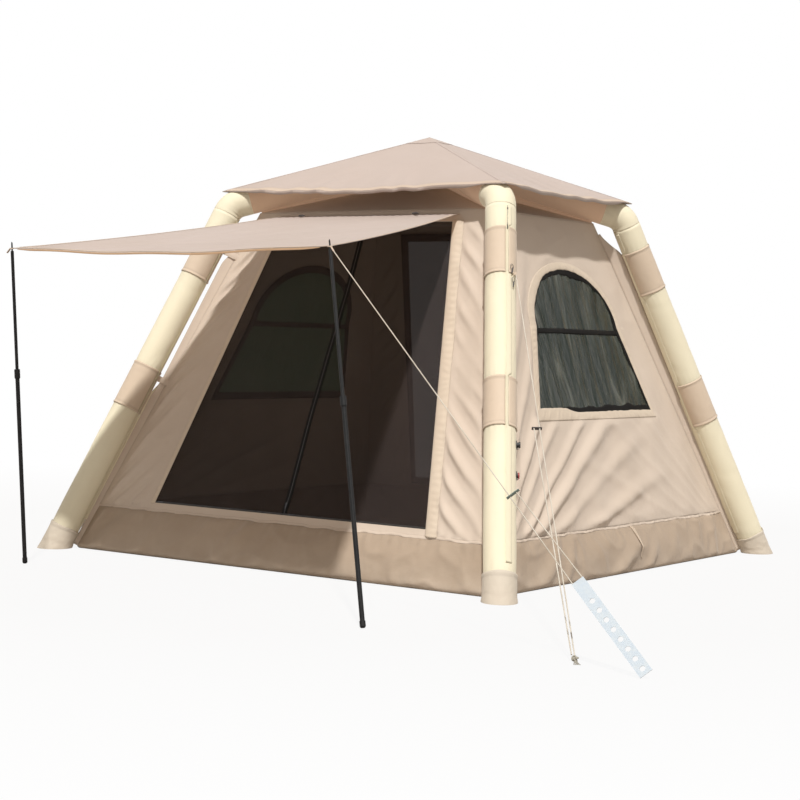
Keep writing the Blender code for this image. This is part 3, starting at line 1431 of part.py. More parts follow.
def make_materials():
    """One material for each kind of surface on the tent."""
    return {
        "sleeve": new_material("pale_yellow_sleeve", (0.87, 0.77, 0.52), 0.6),
        "band": new_material("tan_band", (0.56, 0.38, 0.26), 0.7),
        "boot": new_material("grey_beige_boot", (0.62, 0.54, 0.45), 0.75),
        "bladder": new_material("clear_air_bladder", (0.72, 0.76, 0.78), 0.3, alpha=0.6),
        "hub": new_material("grey_hub", (0.35, 0.35, 0.36), 0.5),
        "fly": new_material("tan_fly", (0.66, 0.53, 0.45), 0.65),
        "wall": new_material("tan_wall", (0.68, 0.53, 0.40), 0.7),
        "tray": new_material("tan_groundsheet", (0.60, 0.48, 0.37), 0.6),
        "mesh": new_material("black_mesh", (0.035, 0.03, 0.03), 0.8, alpha=0.6),
        "zip": new_material("black_zip", (0.02, 0.02, 0.02), 0.5),
        "hardware": new_material("dark_metal", (0.05, 0.05, 0.055), 0.35, metallic=0.8),
        "pole": new_material("black_pole", (0.03, 0.03, 0.035), 0.35, metallic=0.4),
        "valve": new_material("black_valve", (0.02, 0.02, 0.02), 0.45),
        "inflate_cap": new_material("black_cap", (0.02, 0.02, 0.02), 0.45),
        "deflate_cap": new_material("red_cap", (0.62, 0.10, 0.12), 0.45),
        "rope": new_material("off_white_rope", (0.76, 0.70, 0.60), 0.8),
        "slider": new_material("grey_green_slider", (0.16, 0.21, 0.19), 0.4, metallic=0.6),
        "toggle": new_material("dark_toggle", (0.06, 0.05, 0.05), 0.5),
        "knot": new_material("rope_end", (0.45, 0.46, 0.42), 0.8),
        "strap": new_material("pale_blue_strap", (0.72, 0.79, 0.88), 0.35),
    }


def build_tent():
    """Build every piece of the tent."""
    clear_scene()
    tent = new_collection("camping_tent")
    cutters = new_collection("cutters")
    materials = make_materials()
    pieces = {name: build_leg(name, materials, tent, cutters) for name in LEGS}
    build_hub(materials["hub"], tent, cutters)
    build_fly(materials["fly"], tent)
    build_inner_roof(materials["wall"], tent)
    for side_name in SIDE_TURNS:
        build_wall(f"{side_name}_wall", side_name, materials["wall"], tent, cutters)
    build_tray(materials["tray"], tent)
    build_mesh_panels(materials, tent, cutters)
    build_door_zips(materials, tent, cutters)
    build_leg_pull(materials["hardware"], tent, cutters)
    build_awning(materials["fly"], tent, cutters)
    left_corner = Vector((-AWNING_CORNER.x, AWNING_CORNER.y, AWNING_CORNER.z))
    build_pole("right_pole", AWNING_CORNER, RIGHT_POLE_FOOT, materials["pole"], tent)
    build_pole("left_pole", left_corner, LEFT_POLE_FOOT, materials["pole"], tent)
    leg_pieces = pieces["front_right"]
    build_valve(
        "inflate", INFLATE_VALVE_PLACE, INFLATE_NECK_HEIGHT, INFLATE_CAP_HEIGHT, leg_pieces,
        materials, tent, cutters,
    )
    build_valve(
        "deflate", DEFLATE_VALVE_PLACE, DEFLATE_NECK_HEIGHT, DEFLATE_CAP_HEIGHT, leg_pieces,
        materials, tent, cutters,
    )
    build_awning_guy(materials, tent, cutters)
    build_leg_guy(materials, tent, cutters)


build_tent()
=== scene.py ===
"""Looks of the inflatable camping tent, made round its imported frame.

Soft nodes are replaced by finer cloth with folds, seams and hems, and rigid nodes keep
their shape and get a finish. All places are in metres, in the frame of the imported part:
the front is -Y, the right is +X, up is +Z and the floor's middle is the origin.
"""

import json
import logging
import math
from collections.abc import Callable
from dataclasses import dataclass
from enum import Enum
from functools import partial

import bmesh
import bpy
from mathutils import Matrix, Vector, noise

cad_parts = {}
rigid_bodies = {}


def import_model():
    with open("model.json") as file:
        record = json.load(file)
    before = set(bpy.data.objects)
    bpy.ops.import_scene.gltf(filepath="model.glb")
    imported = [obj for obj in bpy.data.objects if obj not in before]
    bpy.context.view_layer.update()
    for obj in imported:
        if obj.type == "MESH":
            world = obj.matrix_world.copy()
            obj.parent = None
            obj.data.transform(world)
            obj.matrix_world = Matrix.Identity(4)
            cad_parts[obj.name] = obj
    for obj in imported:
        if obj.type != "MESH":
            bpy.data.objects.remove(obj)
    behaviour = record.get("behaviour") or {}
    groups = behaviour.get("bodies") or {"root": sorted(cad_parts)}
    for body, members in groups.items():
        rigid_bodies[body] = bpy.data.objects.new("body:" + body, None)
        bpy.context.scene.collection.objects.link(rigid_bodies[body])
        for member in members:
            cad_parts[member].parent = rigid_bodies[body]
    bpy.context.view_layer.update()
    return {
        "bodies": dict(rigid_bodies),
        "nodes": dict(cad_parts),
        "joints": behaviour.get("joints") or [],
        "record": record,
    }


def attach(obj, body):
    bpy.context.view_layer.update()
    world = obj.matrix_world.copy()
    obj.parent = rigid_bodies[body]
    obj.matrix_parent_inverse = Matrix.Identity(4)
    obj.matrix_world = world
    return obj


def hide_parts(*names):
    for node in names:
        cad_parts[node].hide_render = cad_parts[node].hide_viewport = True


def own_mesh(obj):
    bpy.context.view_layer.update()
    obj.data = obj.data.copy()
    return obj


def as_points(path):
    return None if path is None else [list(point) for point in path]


LOG = logging.getLogger("camping_tent")
UP = Vector((0.0, 0.0, 1.0))
Triple = tuple[float, float, float]
Colour = Triple
Pair = tuple[float, float]
Place = Callable[[float, float], Vector]
Chart = Callable[[float, float], Pair]
Run = Callable[[float], Pair]
SIDES = (-1.0, 1.0)
PICTURE_SIZE = 800
NOISE_RANGE = (0.3, 0.7)
WAVE_LENGTH = 0.314
MERGE_DISTANCE = 0.00002
CLOTH = 0.002


class Body(Enum):
    """The moving bodies of the frame."""

    TENT = "tent"
    FLAP = "raised_flap"
    GUY = "awning_guy"


class Slot(Enum):
    """The material slots of the record, one passed with each soft piece."""

    SLEEVE = "pale_yellow_sleeve"
    BAND = "tan_band"
    BOOT = "grey_beige_boot"
    BLADDER = "clear_air_bladder"
    FLY = "tan_fly"
    WALL = "tan_wall"
    TRAY = "tan_groundsheet"
    MESH = "black_mesh"
    ZIP = "black_zip"
    ROPE = "off_white_rope"
    TOGGLE = "dark_toggle"
    KNOT = "rope_end"


def smooth_step(value: float, width: float) -> float:
    """0 at or below zero, 1 from width on, and smooth between."""
    share = min(max(value / width, 0.0), 1.0)
    return share * share * (3.0 - 2.0 * share)


def mix(first: float, second: float, share: float) -> float:
    """A value part of the way from the first to the second."""
    return first + (second - first) * share


def ripple(point: Vector, pitch: float, seed: float = 0.0) -> float:
    """Smooth noise between about -1 and 1, with bumps a pitch apart."""
    return noise.noise(point / pitch + Vector((seed, seed * 1.7, seed * 2.3)))


def crease(point: Vector, pitch: float, seed: float = 0.0) -> float:
    """Noise with narrow ridges, as in crumpled cloth, between 0 and 1."""
    return (1.0 - min(abs(ripple(point, pitch, seed)) * 2.6, 1.0)) ** 2


def fold(turns: float) -> float:
    """A rounded valley and a narrower crest for each turn, between 0 and 1."""
    return (0.5 - 0.5 * math.cos(math.tau * turns)) ** 1.8


def near_edges(share: float, reach: float) -> float:
    """1 at both edges of a piece, and less the farther in a share of its width is."""
    return math.exp(-min(share, 1.0 - share) / reach)


def way_up(_point: Vector) -> Vector:
    """The way out of a roof, which is up at every point."""
    return UP


def way_aside(point: Vector) -> Vector:
    """The way out of the tent's sides, which is level and away from its middle."""
    return Vector((point.x, point.y, 0.0))


# finishes


class NodeBoard:
    """Adds the nodes of one material and joins them."""

    def __init__(self, name: str) -> None:
        """Start a material with its Principled shader."""
        self.material = bpy.data.materials.new(name)
        self.material.use_nodes = True
        self.tree = self.material.node_tree
        self.shader = self.tree.nodes["Principled BSDF"]
        self.places = self.add("ShaderNodeTexCoord")

    def add(self, kind: str, inputs: dict | None = None, **settings: object) -> bpy.types.Node:
        """Add a node.

        Args:
            kind: The node's type name.
            inputs: Values or outgoing sockets for the node's inputs.
            settings: The node's own properties.

        Returns:
            The new node.
        """
        node = self.tree.nodes.new(kind)
        for key, value in settings.items():
            setattr(node, key, value)
        for key, value in (inputs or {}).items():
            if isinstance(value, bpy.types.NodeSocket):
                self.tree.links.new(value, node.inputs[key])
            else:
                node.inputs[key].default_value = value
        return node

    def scaled(self, source: str, scale: Triple, turn: float = 0.0) -> bpy.types.NodeSocket:
        """Object or UV places, stretched and turned for one pattern."""
        return self.add(
            "ShaderNodeMapping",
            {"Vector": self.places.outputs[source], "Scale": scale, "Rotation": (0.0, 0.0, turn)},
        ).outputs["Vector"]

    def noise(
        self, vector: bpy.types.NodeSocket, scale: float, low: float, high: float,
        detail: float = 3.0, distortion: float = 0.0,
    ) -> bpy.types.NodeSocket:
        """Noise spread out between a low and a high value."""
        cloud = self.add(
            "ShaderNodeTexNoise",
            {"Vector": vector, "Scale": scale, "Detail": detail, "Distortion": distortion},
        )
        return self.spread(cloud.outputs[0], low, high, *NOISE_RANGE)

    def spread(
        self, value: bpy.types.NodeSocket, low: float, high: float, start: float = 0.0, end: float = 1.0
    ) -> bpy.types.NodeSocket:
        """A value moved from its own range, start to end, to one from low to high."""
        return self.add(
            "ShaderNodeMapRange",
            {"Value": value, "From Min": start, "From Max": end, "To Min": low, "To Max": high},
        ).outputs[0]

    def wave(self, vector: bpy.types.NodeSocket, pitch: float, axis: str) -> bpy.types.NodeSocket:
        """Even bands across an axis, a pitch in metres apart."""
        return self.add(
            "ShaderNodeTexWave", {"Vector": vector, "Scale": WAVE_LENGTH / pitch}, bands_direction=axis
        ).outputs["Fac"]

    def weave(self, vector: bpy.types.NodeSocket, pitch: float) -> bpy.types.NodeSocket:
        """Threads that cross, a pitch in metres apart."""
        return self.math("MAXIMUM", self.wave(vector, pitch, "X"), self.wave(vector, pitch, "Y"))

    def math(self, operation: str, *values: object) -> bpy.types.NodeSocket:
        """A sum, product or other operation on values or sockets."""
        return self.add("ShaderNodeMath", dict(enumerate(values)), operation=operation).outputs[0]

    def blend(self, share: object, first: object, second: object) -> bpy.types.NodeSocket:
        """A colour part of the way from the first to the second."""
        colours = [(*item, 1.0) if isinstance(item, tuple) else item for item in (first, second)]
        return self.add(
            "ShaderNodeMix", {0: share, 6: colours[0], 7: colours[1]}, data_type="RGBA"
        ).outputs[2]

    def bump(self, height: object, distance: float, strength: float, below: object = None) -> object:
        """Relief laid over the relief that is there already."""
        inputs = {"Height": height, "Distance": distance, "Strength": strength}
        if below is not None:
            inputs["Normal"] = below
        return self.add("ShaderNodeBump", inputs).outputs["Normal"]

    def wire(self, **inputs: object) -> None:
        """Set or link the shader's inputs, with underscores for the spaces of their names."""
        for key, value in inputs.items():
            socket = self.shader.inputs[key.replace("_", " ")]
            if isinstance(value, bpy.types.NodeSocket):
                self.tree.links.new(value, socket)
            elif isinstance(value, tuple):
                socket.default_value = (*value, 1.0)
            else:
                socket.default_value = value


@dataclass(frozen=True)
class ClothFinish:
    """Woven coated cloth: threads, mottling, creases, stitches and dust near the ground, with darker
    seam marks that are painted shade on the leg sleeves, and an optional glow in its own colour that is
    painted light coming through the cloth.
    """

    name: str
    colour: Colour
    shade: Colour
    weave: float = 0.0022
    weave_depth: float = 0.00025
    crease_scale: float = 7.0
    crease_depth: float = 0.0035
    crease_strength: float = 0.35
    roughness: float = 0.72
    sheen: float = 0.15
    dust: float = 0.25
    dust_height: float = 0.16
    dust_colour: Colour = (0.60, 0.52, 0.43)
    stitch_shade: float = 0.62
    specular: float = 0.5
    # glow: emission in the cloth's colour, painted light that stands in for daylight through the cloth
    glow: float = 0.0

    def make(self) -> bpy.types.Material:
        """Build the material.

        Returns:
            The finished material.
        """
        board = NodeBoard(self.name)
        flat = board.scaled("UV", (1.0, 1.0, 1.0))
        solid = board.scaled("Object", (1.0, 1.0, 1.0))
        mottle = board.noise(solid, 1.7, 0.0, 1.0, 4.0)
        colour = board.blend(mottle, self.colour, self.shade)
        slubs = board.noise(board.scaled("UV", (420.0, 18.0, 1.0)), 1.0, 0.0, 0.16, 1.0)
        colour = board.blend(slubs, colour, self.shade)
        cross = board.noise(board.scaled("UV", (14.0, 380.0, 1.0)), 1.0, 0.0, 0.12, 1.0)
        colour = board.blend(cross, colour, tuple(min(1.0, c * 1.12) for c in self.colour))
        height = board.add("ShaderNodeSeparateXYZ", {0: solid}).outputs["Z"]
        low = board.spread(height, self.dust, 0.0, 0.0, self.dust_height)
        dusty = board.math("MULTIPLY", low, board.noise(solid, 14.0, 0.3, 1.0, 5.0))
        colour = board.blend(dusty, colour, self.dust_colour)
        # The seam mask darkens towards a darker tone: stitches on most pieces, painted shade in the
        # gathers of the leg sleeves.
        seam = board.add("ShaderNodeAttribute", attribute_name="seam").outputs["Fac"]
        stitch_and_shade_colour = tuple(c * self.stitch_shade for c in self.colour)
        colour = board.blend(board.math("MULTIPLY", seam, 0.30), colour, stitch_and_shade_colour)
        relief = board.bump(board.weave(flat, self.weave), self.weave_depth, 0.35)
        folds = board.noise(flat, self.crease_scale, 0.0, 1.0, 2.0, 0.3)
        relief = board.bump(folds, self.crease_depth, self.crease_strength, relief)
        relief = board.bump(
            board.noise(flat, self.crease_scale * 8.0, 0.0, 1.0, 2.0), self.crease_depth * 0.05,
            self.crease_strength, relief,
        )
        rough = board.noise(solid, 5.0, self.roughness - 0.06, self.roughness + 0.06)
        board.wire(
            Base_Color=colour, Roughness=rough, Normal=relief, Sheen_Weight=self.sheen,
            Sheen_Roughness=0.5, Specular_IOR_Level=self.specular, Emission_Color=colour,
            Emission_Strength=self.glow,
        )
        return board.material


@dataclass(frozen=True)
class NettingFinish:
    """Fine black insect mesh that lets some of what is behind it show."""

    name: str
    colour: Colour
    cover: float
    uneven: float = 0.06
    pitch: float = 0.0030

    def make(self) -> bpy.types.Material:
        """Build the material.

        Returns:
            The finished material.
        """
        board = NodeBoard(self.name)
        flat = board.scaled("UV", (1.0, 1.0, 1.0))
        net = board.weave(flat, self.pitch)
        slack = board.noise(flat, 2.4, 0.0, 0.5, 3.0, 0.4)
        lighter = tuple(value * 1.7 for value in self.colour)
        board.wire(
            Base_Color=board.blend(slack, self.colour, lighter), Roughness=0.85,
            Alpha=board.spread(net, self.cover - self.uneven, self.cover + self.uneven),
            Normal=board.bump(net, 0.0004, 0.4), Sheen_Weight=0.05, Specular_IOR_Level=0.25,
        )
        return board.material


@dataclass(frozen=True)
class FilmFinish:
    """Clear glossy film with painted highlights: soft patches in a lighter colour stand in for the light
    its wrinkles catch, and an optional glow is painted light coming through it.
    """

    name: str
    colour: Colour
    painted_highlight: Colour
    low_cover: float
    high_cover: float
    stretch: Triple = (6.5, 1.3, 1.0)
    glow: float = 0.0

    def make(self) -> bpy.types.Material:
        """Build the material.

        Returns:
            The finished material.
        """
        board = NodeBoard(self.name)
        cloud = board.noise(board.scaled("UV", self.stretch, 0.12), 1.0, 0.0, 1.0, 5.0, 1.2)
        highlight_patches = board.math("POWER", cloud, 3.5)
        wrinkles = board.noise(board.scaled("UV", (16.0, 3.0, 1.0), 0.2), 1.0, 0.0, 1.0, 4.0, 0.8)
        board.wire(
            # The lighter colour in the patches is a painted highlight; with glow it is also emitted as
            # painted light coming through the film.
            Base_Color=board.blend(highlight_patches, self.colour, self.painted_highlight), Roughness=0.16,
            Alpha=board.spread(highlight_patches, self.low_cover, self.high_cover),
            Emission_Color=self.painted_highlight, Emission_Strength=self.glow,
            Normal=board.bump(wrinkles, 0.012, 0.6), Specular_IOR_Level=0.22,
        )
        return board.material


@dataclass(frozen=True)
class HardFinish:
    """Moulded plastic, rubber or coated metal, with grain and rubbed patches."""

    name: str
    colour: Colour
    worn: Colour
    roughness: float = 0.45
    metallic: float = 0.0
    grain: float = 700.0
    grain_depth: float = 0.0002
    alpha: float = 1.0
    specular: float = 0.5

    def make(self) -> bpy.types.Material:
        """Build the material.

        Returns:
            The finished material.
        """
        board = NodeBoard(self.name)
        solid = board.scaled("Object", (1.0, 1.0, 1.0))
        rubbed = board.noise(solid, 55.0, -0.2, 0.9, 6.0, 0.5)
        relief = board.bump(board.noise(solid, self.grain, 0.0, 1.0, 2.0), self.grain_depth, 0.4)
        scratches = board.noise(board.scaled("Object", (900.0, 900.0, 30.0)), 1.0, 0.0, 0.22, 2.0)
        board.wire(
            Base_Color=board.blend(rubbed, self.colour, self.worn),
            Roughness=board.math("ADD", scratches, self.roughness - 0.08),
            Metallic=self.metallic, Normal=relief, Alpha=self.alpha, Specular_IOR_Level=self.specular,
        )
        return board.material


@dataclass(frozen=True)
class RopeFinish:
    """Braided cord: crossing strands with painted shade in the grooves between them, slightly soiled."""

    name: str
    colour: Colour
    shade: Colour
    strand: float = 0.0032

    def make(self) -> bpy.types.Material:
        """Build the material.

        Returns:
            The finished material.
        """
        board = NodeBoard(self.name)
        left = board.wave(board.scaled("UV", (1.0, 1.0, 1.0), 0.7), self.strand, "X")
        right = board.wave(board.scaled("UV", (1.0, 1.0, 1.0), -0.7), self.strand, "X")
        braid = board.math("MAXIMUM", left, right)
        soil = board.noise(board.scaled("Object", (1.0, 1.0, 1.0)), 9.0, 0.0, 0.6, 4.0)
        # The grooves between the strands take the darker colour as painted shade; the soil noise mixes
        # in the same darker colour as dirt.
        colour = board.blend(braid, self.shade, board.blend(soil, self.colour, self.shade))
        board.wire(
            Base_Color=colour, Roughness=0.8, Normal=board.bump(braid, 0.0006, 0.7), Sheen_Weight=0.2
        )
        return board.material


class Wardrobe:
    """Every finish of the tent, made once."""

    def __init__(self) -> None:
        """Make the finishes."""
        self.fly = ClothFinish("fly_cloth", (0.515, 0.432, 0.395), (0.475, 0.395, 0.352)).make()
        # Orange-brown underside with a glow: painted shade under the roof, warmed by painted light
        # coming through the cloth. The roof beams past their knees, the gussets and the awning's
        # underside take it.
        self.painted_light_underside = ClothFinish(
            "fly_underside", (0.50, 0.34, 0.23), (0.44, 0.29, 0.19), glow=0.34
        ).make()
        # A lighter copy of the fly cloth for the hems: painted light where the turned edges catch the
        # sun; the awning's bead, rings and tabs share it.
        self.hem = ClothFinish("hem_cloth", (0.60, 0.49, 0.40), (0.55, 0.44, 0.35)).make()
        # Orange copy of the fly's tone: painted light shining through the awning's turned-down edge.
        self.edge = ClothFinish("edge_cloth", (0.66, 0.44, 0.27), (0.58, 0.38, 0.23)).make()
        self.wall = ClothFinish(
            "wall_cloth", (0.645, 0.553, 0.468), (0.596, 0.503, 0.418), crease_scale=5.0,
            crease_depth=0.006,
        ).make()
        # A lighter copy of the wall cloth for the window welts and door facings: painted light where the
        # raised strips catch the sun.
        self.welt = ClothFinish("welt_cloth", (0.69, 0.595, 0.485), (0.63, 0.53, 0.42)).make()
        self.tray = ClothFinish(
            "groundsheet_cloth", (0.44, 0.35, 0.267), (0.38, 0.296, 0.22), crease_scale=6.0,
            crease_depth=0.012, dust=0.4,
        ).make()
        self.sleeve = ClothFinish(
            "sleeve_cloth", (0.84, 0.79, 0.61), (0.815, 0.755, 0.575), crease_depth=0.002,
            dust_colour=(0.66, 0.60, 0.48),
        ).make()
        self.band = ClothFinish(
            "band_webbing", (0.68, 0.56, 0.44), (0.62, 0.51, 0.395), weave=0.0034,
            weave_depth=0.0006, crease_depth=0.002,
        ).make()
        self.boot = ClothFinish(
            "boot_cloth", (0.66, 0.60, 0.51), (0.58, 0.52, 0.43), crease_scale=14.0,
            crease_strength=0.6, dust=0.5,
        ).make()
        self.netting = NettingFinish("door_netting", (0.024, 0.017, 0.0155), 0.60).make()
        # Greenish tint: painted light, standing in for green daylight seen through the rear door.
        self.rear_netting = NettingFinish("rear_door_netting", (0.022, 0.030, 0.015), 0.62).make()
        self.window_netting = NettingFinish("window_netting", (0.012, 0.012, 0.009), 0.24).make()
        self.film = FilmFinish(
            "window_film", (0.009, 0.017, 0.010), (0.17, 0.18, 0.15), 0.88, 0.95
        ).make()
        # A brighter green copy of the window film with a glow: painted light coming through the far
        # window.
        self.far_film = FilmFinish(
            "far_window_film", (0.020, 0.042, 0.022), (0.05, 0.11, 0.055), 0.95, 0.98, glow=0.8
        ).make()
        self.bladder = FilmFinish("bladder_film", (0.62, 0.66, 0.68), (0.8, 0.83, 0.85), 0.5, 0.7).make()
        self.zip = HardFinish("zip_teeth", (0.012, 0.012, 0.012), (0.035, 0.033, 0.03), 0.5).make()
        self.tape = ClothFinish(
            "zip_tape", (0.006, 0.005, 0.005), (0.010, 0.009, 0.008), weave=0.0016, dust=0.0,
            crease_depth=0.001, sheen=0.0, specular=0.12,
        ).make()
        self.hardware = HardFinish(
            "lacquered_metal", (0.045, 0.045, 0.05), (0.14, 0.14, 0.14), 0.34, 0.8
        ).make()
        self.pole = HardFinish(
            "coated_tube", (0.008, 0.008, 0.009), (0.018, 0.018, 0.018), 0.45, specular=0.2
        ).make()
        self.valve = HardFinish("valve_plastic", (0.018, 0.018, 0.018), (0.05, 0.045, 0.04), 0.48).make()
        self.red = HardFinish("red_rubber", (0.50, 0.055, 0.06), (0.36, 0.06, 0.06), 0.5).make()
        self.hub = HardFinish("grey_rubber", (0.28, 0.28, 0.29), (0.22, 0.22, 0.22), 0.6).make()
        self.rope = RopeFinish("braided_cord", (0.80, 0.76, 0.68), (0.46, 0.41, 0.33)).make()
        self.frayed = RopeFinish("frayed_cord", (0.52, 0.50, 0.42), (0.24, 0.22, 0.18), 0.002).make()
        self.slider = HardFinish(
            "anodised_plate", (0.15, 0.20, 0.175), (0.26, 0.30, 0.27), 0.36, 0.6
        ).make()
        self.toggle = HardFinish(
            "toggle_plastic", (0.045, 0.038, 0.036), (0.09, 0.08, 0.075), 0.5
        ).make()
        self.strap = HardFinish(
            "ladder_plastic", (0.60, 0.69, 0.78), (0.66, 0.73, 0.78), 0.28, grain=30.0,
            grain_depth=0.0003, alpha=0.85,
        ).make()


# making shapes


class Shape:
    """A piece in the making: one bmesh with a UV map in metres and a seam mask."""

    def __init__(self) -> None:
        """Start with nothing."""
        self.bm = bmesh.new()
        self.uv = self.bm.loops.layers.uv.new("UVMap")
        self.seam = self.bm.verts.layers.float.new("seam")

    def grid(
        self, columns: int, rows: int, place: Place, chart: Chart, wrap: bool = False,
        seam: Callable[[float, float], float] | None = None,
    ) -> list[bmesh.types.BMVert]:
        """Add a grid of cloth whose points go where place says.

        Args:
            columns: Cells across, along u.
            rows: Cells up, along v.
            place: The point for u and v, each from 0 to 1.
            chart: The UV place for u and v, in metres.
            wrap: Whether points that fall together are joined, as round a tube.
            seam: How near a seam u and v are, from 0 to 1.

        Returns:
            The grid's points that are left.
        """
        made = bmesh.ops.create_grid(self.bm, x_segments=columns, y_segments=rows, size=0.5)
        spots = {vert: (vert.co.x + 0.5, vert.co.y + 0.5) for vert in made["verts"]}
        for face in {face for vert in spots for face in vert.link_faces}:
            for loop in face.loops:
                loop[self.uv].uv = chart(*spots[loop.vert])
        for vert, (u, v) in spots.items():
            vert.co = place(u, v)
            if seam:
                vert[self.seam] = seam(u, v)
        if wrap:
            bmesh.ops.remove_doubles(self.bm, verts=list(spots), dist=MERGE_DISTANCE)
        return [vert for vert in spots if vert.is_valid]

    def tube(
        self, path: list[Vector], radius: Callable[[float, float], float], sides: int,
        closed_ends: bool = True,
    ) -> None:
        """Add a round tube along a path.

        Args:
            path: Its centre line.
            radius: The radius at an angle in turns and a share of the length.
            sides: How many sides it has.
            closed_ends: Whether its ends are filled.
        """
        frames = carried_frames(path)
        rows = len(path) - 1
        length = sum((b - a).length for a, b in zip(path, path[1:]))
        around = math.tau * radius(0.0, 0.5)

        def place(u: float, v: float) -> Vector:
            matrix = frames[round(v * rows)]
            reach = radius(u % 1.0, v)
            angle = math.tau * u
            return matrix @ Vector((reach * math.cos(angle), reach * math.sin(angle), 0.0))

        verts = self.grid(sides, rows, place, lambda u, v: (u * around, v * length), wrap=True)
        if closed_ends:
            edges = {edge for vert in verts for edge in vert.link_edges if edge.is_boundary}
            bmesh.ops.holes_fill(self.bm, edges=list(edges), sides=0)

    def fill_foot(self, height: float, inset: float = 0.0) -> None:
        """Fill the open end below a height, with a border inside it if inset is over 0."""
        edges = [
            edge for edge in self.bm.edges
            if edge.is_boundary and max(vert.co.z for vert in edge.verts) < height
        ]
        filled = bmesh.ops.holes_fill(self.bm, edges=edges, sides=0)
        if inset:
            bmesh.ops.inset_region(self.bm, faces=filled["faces"], thickness=inset)

    def box(self, size: Triple, matrix: Matrix, bevel: float) -> None:
        """Add a box with rounded edges."""
        made = bmesh.ops.create_cube(self.bm, size=1.0, matrix=matrix @ Matrix.Diagonal((*size, 1.0)))
        edges = list({edge for vert in made["verts"] for edge in vert.link_edges})
        bmesh.ops.bevel(
            self.bm, geom=edges, offset=bevel, segments=2, profile=0.5, affect="EDGES", material=-1
        )

    def ring(self, matrix: Matrix, radius: float, thick: float, sides: int) -> None:
        """Add a round wire ring about the matrix's Z axis."""
        def place(u: float, v: float) -> Vector:
            turn, tilt = math.tau * u, math.tau * v
            out = radius + thick * math.cos(tilt)
            return matrix @ Vector((out * math.cos(turn), out * math.sin(turn), thick * math.sin(tilt)))

        self.grid(sides, 8, place, lambda u, v: (u * radius * math.tau, v * thick * math.tau), wrap=True)

    def finish(
        self, name: str, finishes: list[bpy.types.Material], thickness: float = 0.0,
        outward: bool = False, facing: Callable[[Vector], Vector] | None = None,
        sharp_angle: float = 60.0,
    ) -> bpy.types.Object:
        """Turn the shape into a piece.

        Args:
            name: The piece's name.
            finishes: Its finish, and if there is a second one that of its inner side.
            thickness: The cloth's thickness, for an open sheet.
            outward: Whether the thickness goes outwards from the surface.
            facing: The way out at a point, for an open sheet.
            sharp_angle: Edges sharper than this, in degrees, stay crisp.

        Returns:
            The piece.
        """
        bmesh.ops.dissolve_degenerate(self.bm, dist=0.000005, edges=self.bm.edges)
        bmesh.ops.recalc_face_normals(self.bm, faces=self.bm.faces)
        if facing:
            agree = sum(
                face.normal.dot(facing(face.calc_center_median())) * face.calc_area()
                for face in self.bm.faces
            )
            if agree < 0:
                bmesh.ops.reverse_faces(self.bm, faces=self.bm.faces)
        mesh = bpy.data.meshes.new(name)
        self.bm.to_mesh(mesh)
        self.bm.free()
        mesh.shade_smooth()
        mesh.set_sharp_from_angle(angle=math.radians(sharp_angle))
        for finish in finishes:
            mesh.materials.append(finish)
        piece = bpy.data.objects.new(name, mesh)
        bpy.context.scene.collection.objects.link(piece)
        if thickness:
            wall = piece.modifiers.new("Thickness", "SOLIDIFY")
            wall.thickness = thickness
            wall.offset = 1.0 if outward else -1.0
            wall.material_offset = len(finishes) - 1
        return piece


def carried_frames(path: list[Vector]) -> list[Matrix]:
    """Frames carried along a path without twist, Z along it.

    Args:
        path: The points of the path.

    Returns:
        One matrix for each point.
    """
    steps = [(b - a).normalized() for a, b in zip(path, path[1:])]
    side = steps[0].orthogonal().normalized()
    frames = []
    for index, point in enumerate(path):
        before = steps[max(index - 1, 0)]
        after = steps[min(index, len(steps) - 1)]
        if index and index < len(steps):
            side = before.rotation_difference(after) @ side
        along = (before + after).normalized()
        side = (side - along * side.dot(along)).normalized()
        basis = Matrix((side, along.cross(side), along)).transposed().to_4x4()
        frames.append(Matrix.Translation(point) @ basis)
    return frames


def enter(piece: bpy.types.Object, body: Body, slot: Slot, *nodes: str) -> bpy.types.Object:
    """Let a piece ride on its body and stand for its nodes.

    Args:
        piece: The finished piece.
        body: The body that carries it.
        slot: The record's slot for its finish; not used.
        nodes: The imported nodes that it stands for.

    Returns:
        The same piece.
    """
    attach(piece, body.value)
    if nodes:
        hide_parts(*nodes)
    LOG.info("%s rides on %s for %s", piece.name, body.value, ", ".join(nodes) or "trim")
    return piece


def line(start: Vector, end: Vector, count: int) -> list[Vector]:
    """Evenly spaced points of a straight line."""
    return [start.lerp(end, index / (count - 1)) for index in range(count)]


# camera, light and floor


@dataclass(frozen=True)
class Viewpoint:
    """The photograph's viewpoint, solved from the tent's own corners."""

    azimuth: float = 34.835
    elevation: float = 1.918
    roll: float = 1.609
    place: Triple = (6.123, -9.027, 1.255)
    focal_pixels: float = 1841.6
    sensor: float = 36.0
    clip_end: float = 200.0

    def build(self) -> None:
        """Make the camera and use it."""
        turn, tilt, roll = (math.radians(a) for a in (self.azimuth, self.elevation, self.roll))
        back = Vector((
            math.sin(turn) * math.cos(tilt), -math.cos(turn) * math.cos(tilt), math.sin(tilt)
        ))
        right = (-back).cross(UP).normalized()
        up = right.cross(-back)
        level = math.cos(roll) * right + math.sin(roll) * up
        upright = math.cos(roll) * up - math.sin(roll) * right
        data = bpy.data.cameras.new("photo_camera")
        data.sensor_width = self.sensor
        data.lens = self.focal_pixels / PICTURE_SIZE * self.sensor
        data.clip_end = self.clip_end
        camera = bpy.data.objects.new("photo_camera", data)
        bpy.context.scene.collection.objects.link(camera)
        basis = Matrix((level, upright, back)).transposed().to_4x4()
        camera.matrix_world = Matrix.Translation(self.place) @ basis
        bpy.context.scene.camera = camera


